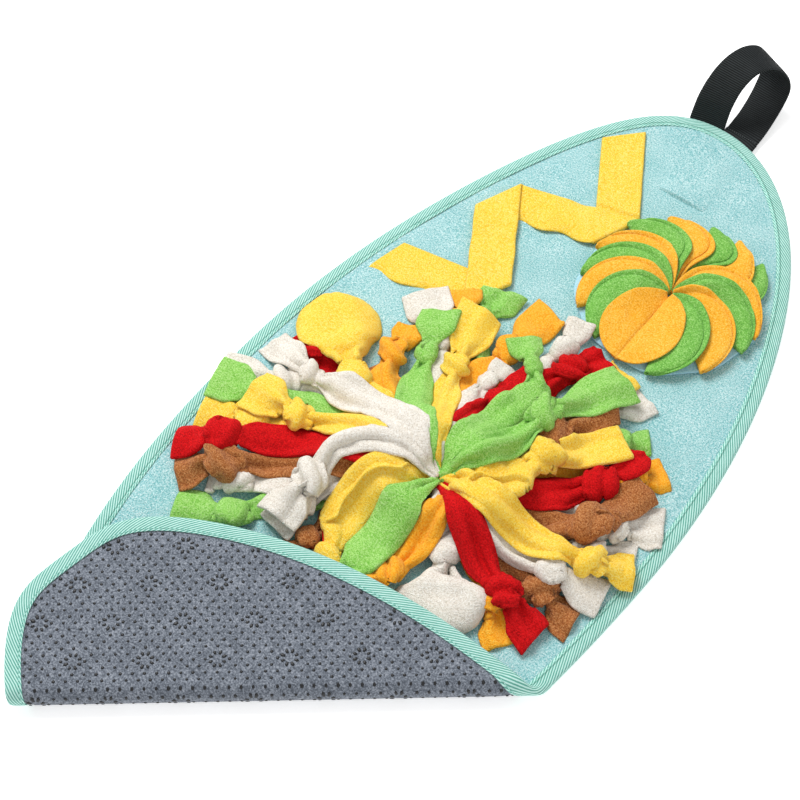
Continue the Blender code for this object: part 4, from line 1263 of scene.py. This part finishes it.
def make_flower_base():
    """The pale round, with a gently uneven rim that shows past the leaves."""
    turn = np.radians(np.arange(0, 360, 3))
    rim = FLOWER_BASE_RADIUS + 1.2 * np.sin(9 * turn) + 0.8 * np.sin(5 * turn + 1)
    loops = []
    for share, height in BASE_SECTION:
        lift = 0.5 * share ** 6 * (1 + np.sin(9 * turn + 0.8)) if share > 0.6 else 0 * turn
        loops.append(np.column_stack([FLOWER_CENTRE[0] + share * rim * np.cos(turn),
                                      FLOWER_CENTRE[1] + share * rim * np.sin(turn),
                                      FLOWER_Z + height + lift]) * MM)
    faces = ring_faces(len(loops), len(turn))
    return weld(make_object("felt_flower_base", np.concatenate(loops), faces, FELTS["pale"]))


# %% The whole flower
flower_base = dress(make_flower_base(), ["flower_base"])
for row in LEAVES:
    leaf, cut_area, cut_width = make_leaf(*row)
    dress(leaf, [row[0]])
front_disc = dress(make_front_disc(), ["disc_front"])
print("flower:", len(LEAVES), "folded discs and an open one")

# %% [markdown]
# ## The pompom's strips
# Each strip is a band of fleece about 33 mm wide. It is gathered to a point at the pompom's middle,
# opens into a soft belly, is gathered again into an overhand knot and ends in a square-cut tail.
# A cloth simulation of so many knotted strips would take hours, so each strip is laid along its
# own given line, and the way it folds is worked out from its width: where a band shows narrower
# than it is, the rest of its width has to go into folds.

# %% The table of strips
POMPOM_CENTRE = np.array([30.5, -25.5])
BAND_WIDTH = 33.0
FLEECE_THICKNESS = 2.4
# Each row is a strip, lowest first: its bundle; its line, as distance and bearing from the pompom's
# middle, the last two being its knot and its tail's end; the widths its belly, knot and tail show;
# how it is folded; how its tail ends; where its belly is twisted; its knot's turn and hand.
# Millimetres and degrees.
STRIPS = (
    ("brown_3", ((60, 226), (100, 240), (122, 243)), 27, 20, 24, "hump", "cut", 0, 0, 1),
    ("red_3", ((60, 234), (100, 252), (118, 256)), 27, 20, 24, "hump", "cut", 0, 0, 1),
    ("white_2", ((50, 270), (92, 276), (110, 276)), 27, 22, 26, "hump", "cut", 0, 0, -1),
    ("brown_3", ((60, 152), (104, 153), (122, 153)), 26, 22, 24, "hump", "cut", 0, 0, -1),
    ("green_1", ((100, 220), (149, 225), (190, 221)), 23, 26, 30, "hump", "cut", 0, 0, 1),
    ("green_1", ((110, 115), (157, 116), (190, 112)), 22, 24, 34, "flat", "slant", 0, 20, 1),
    ("green_1", ((100, 60), (141, 57), (163, 55)), 21, 22, 22, "hump", "cut", 0, 0, -1),
    ("white_1", ((105, 215), (147, 214), (167, 213)), 24, 26, 25, "hump", "cut", 0, 0, 1),
    ("white_1", ((120, 94), (160, 91), (188, 92)), 21, 22, 22, "hump", "cut", 0, 30, -1),
    ("white_1", ((100, 72), (140, 68), (178, 68)), 24, 24, 36, "flat", "cut", 0, 0, 1),
    ("white_1", ((92, 16), (116, 15), (148, 17)), 24, 26, 32, "trough", "cut", 0, -20, 1),
    ("orange_1", ((110, 122), (158, 121), (185, 121)), 21, 22, 24, "flat", "cut", 0, 0, 1),
    ("orange_1", ((89, 45), (140, 43), (167, 45)), 24, 24, 28, "flat", "cut", 0, 0, -1),
    ("orange_1", ((60, 337), (94, 331), (127, 329)), 24, 26, 30, "trough", "cut", 0, 0, 1),
    ("red_2", ((110, 162), (158, 165), (178, 165)), 22, 22, 24, "flat", "cut", 0, 0, 1),
    ("white_2", ((60, 203), (101, 226), (121, 232)), 24, 26, 28, "ridge", "cut", 0, 0, 1),
    ("white_2", ((105, 172), (150, 178), (198, 184)), 24, 26, 32, "ridge", "cut", 0, 0, -1),
    ("white_2", ((80, 128), (138, 128), (184, 131)), 24, 24, 36, "hump", "cut", 0, 0, 1),
    ("white_2", ((81, 29), (128, 25), (163, 29)), 22, 26, 32, "trough", "slant", 0, 30, 1),
    ("yellow_2", ((94, 187), (152, 195), (191, 195)), 26, 28, 36, "hump", "cut", 0, 0, 1),
    ("yellow_2", ((120, 74), (150, 74), (178, 75)), 22, 26, 30, "flat", "cut", 0, 0, 1),
    ("green_2", ((103, 180), (151, 185), (196, 187)), 24, 26, 36, "hump", "cut", 0, 0, -1),
    ("brown_3", ((52, 68), (98, 66), (149, 67)), 26, 28, 28, "ridge", "slant", 0, 0, 1),
    ("brown_3", ((103, 205), (157, 211), (191, 213)), 27, 32, 30, "ridge", "doubled", 0, 0, -1),
    ("brown_3", ((60, 12), (84, 18), (114, 22), (150, 39)), 22, 32, 26, "rolled", "cut", 0, 10, 1),
    ("brown_3", ((60, 352), (88, 352), (108, 350), (138, 351)), 26, 28, 32, "ridge", "slant", 0, 0, 1),
    ("red_3", ((100, 196), (163, 204), (197, 206)), 27, 30, 28, "hump", "doubled", 0, 0, 1),
    ("red_3", ((105, 89), (148, 85), (176, 82)), 24, 28, 28, "trough", "cut", 0, 0, -1),
    ("red_3", ((40, 38), (74, 35), (117, 41), (154, 49)), 28, 30, 24, "trough", "round", 0, 0, 1),
    ("orange_3", ((70, 150), (104, 150), (129, 143), (151, 135)), 26, 26, 26, "ridge", "cut", 0, 0, 1),
    ("orange_3", ((50, 118), (94, 110), (139, 105), (187, 100)), 31, 24, 31, "hump", "slant", 0, 20, 1),
    ("white_4", ((44, 122), (65, 114), (100, 106), (122, 103)), 21, 18, 18, "hump", "cut", 0, 0, 1),
    ("red_2", ((30, 115), (58, 106), (88, 99), (126, 92)), 18, 18, 22, "hump", "cut", 0, 0, 1),
    ("yellow_4", ((64, 162), (116, 161), (196, 153)), 28, 28, 64, "hump", "round", 0, 0, 1),
    ("yellow_4", ((74, 183), (119, 188), (162, 187)), 27, 27, 36, "ridge", "cut", 0, 0, -1),
    ("yellow_4", ((27, 221), (47, 222), (67, 234), (81, 246), (97, 254), (109, 262)), 31, 24, 28, "rolled",
     "cut", 0, 0, 1),
    ("white_4", ((61, 352), (105, 357), (142, 2)), 17, 25, 30, "hump", "cut", 0, 0, 1),
    ("white_4", ((25, 313), (50, 314), (112, 307)), 26, 27, 66, "hump", "round", 0, 0, -1),
    ("orange_3", ((20, 312), (38, 291), (55, 286), (75, 280), (98, 275)), 28, 26, 26, "trough",
     "cut", 0, 0, 1),
    ("red_5", ((15, 340), (48, 335), (78, 334), (98, 336), (133, 338)), 23, 28, 28, "trough",
     "slant", 0, 0, 1),
    ("yellow_5", ((31, 137), (54, 131), (82, 125), (108, 121), (162, 116)), 27, 24, 34, "ridge",
     "slant", 0, 0, 1),
    ("yellow_5", ((26, 44), (46, 42), (80, 54), (142, 54)), 44, 30, 30, "rolled", "cut", 0, 0, -1),
    ("yellow_5", ((26, 8), (61, 5), (91, 4), (124, 8), (151, 13)), 26, 26, 28, "ridge", "cut", 0, 0, 1),
    ("green_5", ((30, 150), (50, 146), (68, 144), (92, 138), (121, 132), (158, 127)), 25, 20, 30,
     "hump", "cut", 0, 0, 1),
    ("green_5", ((24, 95), (40, 91), (61, 89), (79, 89), (97, 87), (112, 88), (127, 94), (148, 102)),
     26, 18, 26, "hump", "cut", 0, 30, -1),
    ("green_5", ((33, 67), (59, 69), (98, 74), (168, 71)), 24, 28, 34, "ridge", "cut", 0, 0, 1),
    ("green_5", ((27, 256), (54, 262), (80, 264), (106, 263), (120, 262)), 30, 18, 24, "hump",
     "cut", 0, 0, 1),
    ("white_5", ((19, 176), (31, 180), (53, 190), (76, 201), (92, 218), (119, 231)), 20, 29, 34, "ridge",
     "cut", 0, 0, 1),
    ("white_5", ((20, 163), (41, 158), (66, 163), (98, 168), (136, 172), (185, 171)), 27, 22, 24,
     "ridge", "cut", 0, 0, -1),
)
print(len(STRIPS), "strips in the table")

# %% [markdown]
# ## How a band folds
# A band that shows narrower than it is has folds running along it. Its cross section is drawn as a
# walk across the cloth: the heading follows one of a few patterns, an arch for a hump, waves for
# ridges and troughs, a sharp turn for an edge tucked under, and the pattern is made stronger until
# the section is as narrow as it should be. Near the middle and in the knots close pleats take over,
# so the folds of the belly run together there as real ones do.

# %% Cross sections
SECTION_POINTS = 21
# Each row is a way of folding: how arched the band is; the strength, number and phase of its main
# waves; the strength of finer ones; and how much of one edge is tucked under.
FOLDS = {
    "flat": (0.35, 0.45, 1.1, 0.2, 0.3, 0.0),
    "hump": (1.15, 0.25, 1.4, 0.1, 0.12, 0.0),
    "ridge": (0.8, 0.85, 1.45, 0.75, 0.18, 0.0),
    "trough": (0.25, 1.0, 2.0, 0.0, 0.15, 0.0),
    "rolled": (0.75, 0.45, 1.2, 0.4, 0.2, 0.36),
}
TUCK_TURN = math.radians(168)


def sections(fold, half, fabric, tucking, walked, seed):
    """Where each point across the band lies, sideways and upwards, at every station."""
    arch, strength, number, phase, fine, tuck = FOLDS[fold]
    u = np.linspace(-1, 1, SECTION_POINTS)[None]
    drift = 0.16 * np.sin(walked / 27.0 + seed)[:, None]
    open_pattern = (-arch * u + strength * np.sin(math.pi * (number * u + phase + drift))
                    + fine * np.sin(math.pi * (3.1 * u + 0.37 * seed + 2 * drift)))
    pleats = np.sin(math.pi * (1.5 * u + 0.61 * seed + drift)) + 0.55 * np.sin(math.pi * (2.7 * u + seed))
    share = np.clip(half / fabric, 0.12, 0.995)[:, None]
    gathered = ease((0.66 - share) / 0.3)
    pattern = open_pattern * (1 - gathered) + pleats * gathered
    pattern -= pattern.mean(axis=1, keepdims=True)
    pattern /= np.abs(pattern).max(axis=1, keepdims=True)
    low, high = np.zeros_like(share), np.full_like(share, 1.45)
    for _ in range(16):
        strong = (low + high) / 2
        wide = np.cos(strong * pattern).mean(axis=1, keepdims=True) > share
        low, high = np.where(wide, strong, low), np.where(wide, high, strong)
    heading = low * pattern
    tucked = tuck * tucking[:, None]
    turn = ease((u - (1 - 2 * tucked)) / 0.2) * (tucked > 0.05)
    heading = heading - TUCK_TURN * turn
    step = 2 * fabric[:, None] / (SECTION_POINTS - 1)
    across = np.cumsum(np.cos(heading) * step, axis=1)
    rise = np.cumsum(np.sin(heading) * step, axis=1)
    across -= (across.min(axis=1, keepdims=True) + across.max(axis=1, keepdims=True)) / 2
    across *= half[:, None] / across.max(axis=1, keepdims=True)
    return across, rise - rise.mean(axis=1, keepdims=True)


# %% [markdown]
# ## Laying the strips on each other
# The strips lie in a heap: the first on the mat, each later one over those before it. A height map
# of the mat remembers how high the heap already is. A second map, the roof, remembers how low the
# folded end of the mat hangs, since no strip may reach through it.

# %% The heap's height map
HEAP_CELL = 1.5
HEAP_LOW = np.array([-215.0, -365.0])
HEAP_SHAPE = (320, 540)
ROOF_FROM = 12.0
heap = np.full(HEAP_SHAPE, FLEECE_TOP / MM + 0.4)


def heap_cell(points):
    """The map cell of each point given in millimetres."""
    cells = ((points - HEAP_LOW) / HEAP_CELL).astype(int)
    return cells[..., 0], cells[..., 1]


def heap_up(points, heights):
    """Raise the map to the given heights, at each point's cell and the cells next to it."""
    row, column = heap_cell(points)
    for i in (-1, 0, 1):
        for j in (-1, 0, 1):
            np.maximum.at(heap, (row + i, column + j), heights)


def points_of(item):
    """The points of a piece, in millimetres."""
    spots = np.zeros(len(item.data.vertices) * 3)
    item.data.vertices.foreach_get("co", spots)
    return spots.reshape(-1, 3) / MM


def heap_object(item):
    """Raise the map to a piece that is already there."""
    spots = points_of(item)
    inside = (np.abs(spots[:, 0]) < 200) & (spots[:, 2] < 40)
    heap_up(spots[inside, :2], spots[inside, 2])


for item in (zigzag, flower_base, front_disc):
    heap_object(item)
for row in LEAVES:
    heap_object(bpy.data.objects["felt_" + row[0]])
for inset in np.arange(0, 12, 1.5):
    ring = oval_ring(inset * MM, 1600)
    flat_part = ring[ring @ FOLD_NORMAL < FOLD_DISTANCE] / MM
    heap_up(flat_part, np.full(len(flat_part), RIM_THICKNESS / MM))

# What hangs over the heap: the folded end, as the lowest height of cloth above each cell.
roof = np.full(HEAP_SHAPE, 1000.0)
for item in (fleece, tape):
    spots = points_of(item)
    spots = spots[spots[:, 2] > ROOF_FROM]
    row, column = heap_cell(spots[:, :2])
    for i in range(-3, 4):
        for j in range(-3, 4):
            np.minimum.at(roof, (row + i, column + j), spots[:, 2])
print("cells under the folded end:", int((roof < 999).sum()))
print("heap starts at", round(float(heap.min()), 1), "mm, highest", round(float(heap.max()), 1))


# %% [markdown]
# ## Stations along a strip
# A strip is cut into stations about 4 mm apart: its root in the pompom's middle, its belly, its knot
# and its tail. Each station says where it is, how wide the band shows there and how much cloth it
# has, so everything that follows can work on plain rows of numbers.

# %% Stations of a strip
STATION_STEP = 4.0
KNOT_ROOM = 12.0
ROOT, BELLY, KNOT, TAIL = range(4)
# For a knot of this width: the half width that shows where the band goes in and where it comes out,
# the half width of the cloth in it, and its height above what it rests on. Then the half width of
# the cloth at the root. Millimetres.
KNOT_SIZE = 28
KNOT_ENTRY = 7.6
KNOT_EXIT = 8.2
KNOT_CLOTH = 12.5
KNOT_REST = 8.6
ROOT_CLOTH = 8.0


def polar(distance, bearing):
    """Plan points about the pompom's middle, in millimetres."""
    angle = np.radians(bearing)
    return POMPOM_CENTRE + np.stack([distance * np.cos(angle), distance * np.sin(angle)], axis=-1)


def strip_stations(row):
    """Stations of a strip: place, half width shown, half width of cloth, kind, twist, tucking."""
    _, line, belly, knot, tail, _, end, twist, _, _ = row
    line = polar(*np.array(line, dtype=float).T)
    scale = knot / KNOT_SIZE
    start = POMPOM_CENTRE + 1.5 * unit(line[0] - POMPOM_CENTRE)
    inner = np.column_stack([np.vstack([start, line[:-1]]), np.zeros(len(line))])
    length = spline(inner, 50)[1]
    curve, length = spline(inner, int(length / STATION_STEP) + 1)
    walked = np.linspace(0, length, len(curve))
    entry = length - KNOT_ROOM * scale
    keep = walked < entry - 1.0
    walked = np.append(walked[keep], entry)
    marks = np.linspace(0, length, len(curve))
    places = np.vstack([curve[keep, :2], [[np.interp(entry, marks, curve[:, k]) for k in (0, 1)]]])
    rooted = 2.8 + 0.16 * np.minimum(walked, 16)
    half = rooted + (belly / 2 - rooted) * ease((walked - 5) / 34)
    closing = ease((entry - walked) / 20)
    half = np.where(walked > 28, KNOT_ENTRY * scale + (half - KNOT_ENTRY * scale) * closing, half)
    cloth = ROOT_CLOTH + (max(BAND_WIDTH, belly * 1.22) / 2 - ROOT_CLOTH) * ease((walked - 3) / 24)
    gathering = ease((entry - walked) / 16)
    cloth = np.where(walked > 28, KNOT_CLOTH + (cloth - KNOT_CLOTH) * gathering, cloth)
    roll = np.zeros(len(walked))
    if twist:
        at = twist * entry
        roll = math.pi * ease((walked - at) / 22 + 0.5)
        half *= 1 - 0.55 * np.exp(-((walked - at) / 11) ** 2)
    kind = np.where(walked < 13, ROOT, BELLY)
    tucking = ease((walked - 14) / 14) * ease((entry - 8 - walked) / 14)
    rows = [np.column_stack([places, half, cloth, kind, roll, tucking])]
    rows.append(np.array([[*line[-2], knot / 2, KNOT_CLOTH * scale, KNOT, roll[-1], 0]]))
    run = np.linalg.norm(line[-1] - line[-2])
    ahead = (line[-1] - line[-2]) / run
    first = min(KNOT_ROOM * scale, 0.5 * run)
    steps = np.linspace(first, run, max(int((run - first) / STATION_STEP) + 1, 4))
    flare = ease((steps - first) / max(0.5 * (run - first), 6))
    half = KNOT_EXIT * scale + (tail / 2 - KNOT_EXIT * scale) * flare
    full = 1.14 if end == "round" else 1.06
    narrow = max(KNOT_CLOTH * scale, tail / 2 * 0.8)
    cloth = narrow + (tail / 2 * full - narrow) * flare
    if end == "round":
        rest = np.clip((steps - (run - tail / 2)) / (tail / 2), 0, 1)
        rounding = np.sqrt(1 - 0.8 * rest ** 2.6)
        half = half * rounding
        cloth = cloth * rounding
    places = line[-2] + ahead * steps[:, None]
    rows.append(np.column_stack([places, half, cloth, np.full(len(steps), TAIL),
                                 np.full(len(steps), roll[-1]), np.zeros(len(steps))]))
    return np.vstack(rows)


# %% [markdown]
# ## Letting a strip sink
# A new strip is first a slack string from the pompom's middle to its tail, pulled down and smoothed
# again and again but never below what lies under it. Then its breadth goes slack too: every point
# across the band sinks until it is held up from below or by its neighbours, so an edge hangs over
# the strip beneath.

# %% A slack string
PRESS_IN = 0.2
KNOT_PRESS = 2.5
STRING_SAG = 0.22
CLOTH_SAG = 0.12
PINCH_SLOPE = 0.42
ROOF_ROOM = 4.5
HIGHEST_MIDDLE = 46.0
SETTLING_ROUNDS = 160
DRAPING_ROUNDS = 60


def slack_string(need, held, height, floor_level):
    """Heights of a slack string that is never below its needs."""
    level = np.maximum(need, floor_level)
    level[held] = height[held]
    for _ in range(SETTLING_ROUNDS):
        pulled = (np.roll(level, 1) + np.roll(level, -1)) / 2 - STRING_SAG
        pulled[-1] = level[-2] - 4 * STRING_SAG
        level = np.where(held, height, np.maximum(need, pulled))
    return level


# %% A slack band
def neighbour_mean(grid):
    """The mean of each value's four neighbours; past an edge the edge's own value counts."""
    wide = np.pad(grid, ((1, 1), (1, 1)), mode="edge")
    return (wide[:-2, 1:-1] + wide[2:, 1:-1] + wide[1:-1, :-2] + wide[1:-1, 2:]) / 4


def settle(stations, across, rise, root_height, scale):
    """The height of each station's middle and the extra height of every point across the band."""
    place, kind = stations[:, :2], stations[:, 4]
    ahead = unit(np.gradient(place, axis=0))
    side = np.column_stack([ahead[:, 1], -ahead[:, 0]])
    spots = place[:, None] + side[:, None] * across[..., None]
    held_up = heap[heap_cell(spots)] + FLEECE_THICKNESS / 2 - PRESS_IN - rise
    reach = np.linalg.norm(place - POMPOM_CENTRE, axis=1)
    ceiling = np.minimum(root_height + 4 + PINCH_SLOPE * np.maximum(reach - 12, 0), HIGHEST_MIDDLE)
    above = roof[heap_cell(spots)] - ROOF_ROOM - rise
    ceiling = np.minimum(ceiling, above.min(axis=1))
    need = np.minimum(np.quantile(held_up, 0.7, axis=1), ceiling)
    at = int(np.argmax(kind == KNOT))
    turns = np.linspace(0, 2 * math.pi, 13)[:-1]
    disc = np.concatenate([place[at] + r * scale * np.column_stack([np.cos(turns), np.sin(turns)])
                           for r in (3.0, 7.0, 10.0)])
    need[at] = np.quantile(heap[heap_cell(disc)], 0.75) - KNOT_PRESS + KNOT_REST * scale
    roots = kind == ROOT
    fall = root_height + np.clip((reach - 2) / 12, 0, 1) * 2.5
    lowest = FLEECE_TOP / MM + FLEECE_THICKNESS / 2 - rise.min(axis=1)
    lowest[at] = FLEECE_TOP / MM + 8.0 * scale
    need[at] = min(need[at], roof[heap_cell(disc)].min() - KNOT_REST * scale)
    level = slack_string(need, roots, fall, lowest)
    level[1:-1] = (level[:-2] + 2 * level[1:-1] + level[2:]) / 4
    level = np.where(roots, fall, np.maximum(level, lowest))

    push = np.minimum(held_up, ceiling[:, None] + 3) - level[:, None]
    hang = -0.8 - 3.5 * np.linspace(-1, 1, SECTION_POINTS) ** 4
    drape = np.clip(push, hang, 6)
    for _ in range(DRAPING_ROUNDS):
        wide = np.pad(drape, ((1, 1), (1, 1)), mode="edge")
        across_mean = (wide[1:-1, :-2] + wide[1:-1, 2:]) / 2
        along_mean = (wide[:-2, 1:-1] + wide[2:, 1:-1]) / 2
        drape = np.maximum(push, 0.5 * across_mean + 0.5 * along_mean - CLOTH_SAG)
        drape = np.clip(drape, hang, 7)
    for _ in range(2):
        drape = neighbour_mean(drape) / 2 + drape / 2
    steps = distances(place)
    fade = ease(np.abs(steps - steps[at]) / (16 * scale) - 0.35) * ease((steps - 8) / 16)
    drape = drape * fade[:, None]
    ground = FLEECE_TOP / MM + FLEECE_THICKNESS / 2 - rise - level[:, None]
    return level, np.maximum(drape, np.minimum(ground, 6))


# %% [markdown]
# ## The knot
# In an overhand knot the band goes in low, turns up, crosses slantwise back over itself, dives
# underneath and comes out in front. Eleven listed points give that path for a knot 28 mm wide;
# scaled, turned and sometimes mirrored, they serve every strip. The band's outward side is given
# with each point, so that it wraps the knot flat, as cloth does.

# %% The knot's path
# Each row is a point of the knot: forward, left, up, the way the band's outer side faces there as
# forward, left and up, the half width it shows and the half width of its cloth.
KNOT_PATH = (
    (-9.5, 0.5, -1.0, 0.0, 0.0, 1.0, 7.8, 12.0),
    (-2.0, 2.5, -0.5, 0.0, 0.1, 1.0, 7.4, 12.0),
    (5.0, 5.6, 1.0, 0.5, 0.5, 0.9, 7.6, 12.0),
    (6.2, 8.6, 3.4, 0.6, 0.9, 0.5, 8.8, 12.5),
    (3.4, 5.4, 6.2, 0.2, 0.4, 1.0, 10.6, 13.5),
    (-1.0, -1.0, 7.2, -0.1, -0.1, 1.0, 11.6, 14.0),
    (-4.2, -7.2, 4.6, -0.3, -0.7, 0.7, 11.0, 13.5),
    (-4.6, -10.2, -0.6, -0.2, -1.0, -0.1, 9.4, 12.5),
    (-0.5, -7.0, -5.2, 0.1, -0.5, -0.9, 8.0, 12.0),
    (5.0, -1.5, -4.6, 0.4, 0.1, -0.9, 7.2, 12.0),
    (10.0, 0.5, -1.8, 0.5, 0.0, 0.9, 7.8, 12.0),
)


def strip_path(row, stations, level, drape, jitter):
    """Rows of the whole path: place, outward way, half width, cloth, and the drape of each point."""
    _, _, _, knot, _, _, _, _, turn, hand = row
    kind, roll = stations[:, 4], stations[:, 5]
    at = int(np.argmax(kind == KNOT))
    up = np.array([0.0, 0.0, 1.0])
    way = unit(np.gradient(np.column_stack([stations[:, :2], level]), axis=0))
    left = unit(np.cross(up, way))
    upright = np.cross(way, left)
    outward = upright * np.cos(roll)[:, None] + left * np.sin(roll)[:, None]
    rows = []
    for i in range(at):
        rows.append((*stations[i, :2], level[i], *outward[i], *stations[i, [2, 3, 6]], *drape[i]))
    scale = knot / KNOT_SIZE
    spin = math.radians(turn) + 0.45 * jitter[2]
    middle = np.array([*stations[at, :2], level[at]])
    flip = math.cos(roll[-1])
    still = np.zeros(SECTION_POINTS)
    for k, (x, y, z, nx, ny, nz, half, cloth) in enumerate(KNOT_PATH):
        y, ny = y * hand, ny * hand
        y, z = y * math.cos(spin) - z * math.sin(spin), y * math.sin(spin) + z * math.cos(spin)
        ny, nz = ny * math.cos(spin) - nz * math.sin(spin), ny * math.sin(spin) + nz * math.cos(spin)
        shove = 0.9 * math.sin(2.3 * k + 9 * jitter[3])
        place = middle + (way[at] * (x + shove) + left[at] * y * 0.94 + upright[at] * z * 0.74) * scale
        facing = (way[at] * nx + left[at] * ny + upright[at] * nz) * flip
        rows.append((*place, *facing, half * scale, cloth * scale, 0.0, *still))
    for i in range(at + 1, len(kind)):
        if np.linalg.norm(stations[i, :2] - stations[at, :2]) > 11.5 * scale or i == len(kind) - 1:
            rows.append((*stations[i, :2], level[i], *outward[i], *stations[i, [2, 3, 6]], *drape[i]))
    return np.array(rows)


# %% [markdown]
# ## From a path to cloth
# The cross sections are swept along the path. Noise adds pleats where the cloth is gathered and soft
# dents elsewhere. Where the face would still sink into the strips below, it is lifted out of them.

# %% The skin of a band
SWEEP_STEP = 2.1
# How far the end of a tail runs aside, as a share of its half width, for each way it ends.
END_SLANTS = {"cut": 0.05, "slant": 0.26, "round": 0.0, "doubled": 0.12}


def band_skin(path, row, seed):
    """The strip's face and back grids from its path."""
    _, _, _, _, tail, fold, end, _, _, _ = row
    span = np.linalg.norm(np.diff(path[:, :3], axis=0), axis=1).sum()
    line, length = spline(path, int(max(40, 1.04 * span / SWEEP_STEP)))
    walked = np.linspace(0, length, len(line))
    place, outward = line[:, :3], line[:, 3:6]
    half, cloth, tucking, drape = np.maximum(line[:, 6], 1.5), line[:, 7], line[:, 8], line[:, 9:]
    ahead = unit(np.gradient(place, axis=0))
    outward = unit(outward - (outward * ahead).sum(axis=1)[:, None] * ahead)
    side = np.cross(ahead, outward)
    across, rise = sections(fold, half, cloth, np.clip(tucking, 0, 1), walked, seed)
    u = np.linspace(-1, 1, SECTION_POINTS)
    last = ease((walked - (length - 14)) / 14)[:, None]
    slant = END_SLANTS[end] * (tail / 2 * (1 if seed % 2 else -1))
    flat = np.stack([cloth[:, None] * u, np.broadcast_to(walked[:, None], across.shape),
                     np.full(across.shape, seed * 37.0)], axis=-1)
    gathered = np.clip((0.75 - half / cloth) / 0.35, 0, 1)[:, None]
    pleat = lattice_noise(flat * [1, 0.25, 1], 5.0, 41) * (0.25 + 0.75 * gathered)
    soft = lattice_noise(flat, 15, 42) * 1.2
    middle = place[:, None] + side[:, None] * across[..., None] + outward[:, None] * rise[..., None]
    middle = middle + ahead[:, None] * (slant * u * last)[..., None]
    middle[..., 2] += drape
    along, over = np.gradient(middle, axis=0), np.gradient(middle, axis=1)
    normal = unit(np.cross(along, over))
    facing = np.sign((normal * outward[:, None]).sum(axis=-1).sum(axis=1))
    normal = normal * np.where(facing == 0, 1, facing)[:, None, None]
    middle = middle + normal * (pleat + soft)[..., None]
    nap = lattice_noise(flat, 2.4, 43) * 0.2
    half_thick = FLEECE_THICKNESS / 2
    face = middle + normal * (half_thick + nap)[..., None]
    reverse = middle - normal * half_thick
    # Cloth that would sink into the heap is lifted out of it, as long as it faces up.
    over = heap[heap_cell(face[..., :2])] + 0.5 - face[..., 2]
    lift = np.clip(over, 0, 3.2) * (normal[..., 2] > 0.3)
    lift *= ease((np.linalg.norm(face[..., :2] - POMPOM_CENTRE, axis=-1) - 8) / 8)
    for _ in range(2):
        lift = np.maximum(lift, neighbour_mean(lift) * 0.8)
    face[..., 2] += lift
    reverse[..., 2] += lift * 0.8
    return face, reverse, length


# %% [markdown]
# ## All the strips
# The strips are laid in the order of the table, from the lowest to the highest, and each one raises
# the height map for those that follow. Several strips of one colour and level stand for one solid
# of the CAD part, so each of them names that solid as the one it replaces.

# %% Every strip, from the lowest to the highest
ROOT_LOWEST = 7.0
ROOT_STEP = 1.75
draws = np.random.default_rng(12)
bundles = sorted(dict.fromkeys(row[0] for row in STRIPS), key=lambda name: name[-1])
highest = 0.0
for number, row in enumerate(STRIPS):
    bundle, line, _, knot, tail, fold, _, _, _, _ = row
    colour = bundle.rsplit("_", 1)[0]
    stations = strip_stations(row)
    across, rise = sections(fold, *stations[:, [2, 3, 6]].T, distances(stations[:, :2]), number)
    root_height = ROOT_LOWEST + ROOT_STEP * bundles.index(bundle)
    level, drape = settle(stations, across, rise, root_height, knot / KNOT_SIZE)
    path = strip_path(row, stations, level, drape, draws.uniform(-1, 1, 6))
    face, reverse, length = band_skin(path, row, number)
    points, faces = ribbon_skin(face, reverse)
    points[:, 2] = np.minimum(points[:, 2], roof[heap_cell(points[:, :2])] - 0.5)
    points[:, 2] = np.maximum(points[:, 2], FLEECE_TOP / MM + 0.1)
    beyond = np.linalg.norm(points[:, :2] - POMPOM_CENTRE, axis=1) > 13
    heap_up(points[beyond, :2], points[beyond, 2])
    highest = max(highest, points[:, 2].max())
    strip = make_object(f"fleece_strip_{number + 1:02d}_{colour}", points * MM, faces, FLEECES[colour])
    dress(strip, ["strips_" + bundle])
    wide, tail_length = max(BAND_WIDTH, tail), 1.2 * (line[-1][0] - line[-2][0])
    cut_area = BAND_WIDTH * length + (wide - BAND_WIDTH) * tail_length
print(len(STRIPS), "strips, highest point", round(highest, 1), "mm")
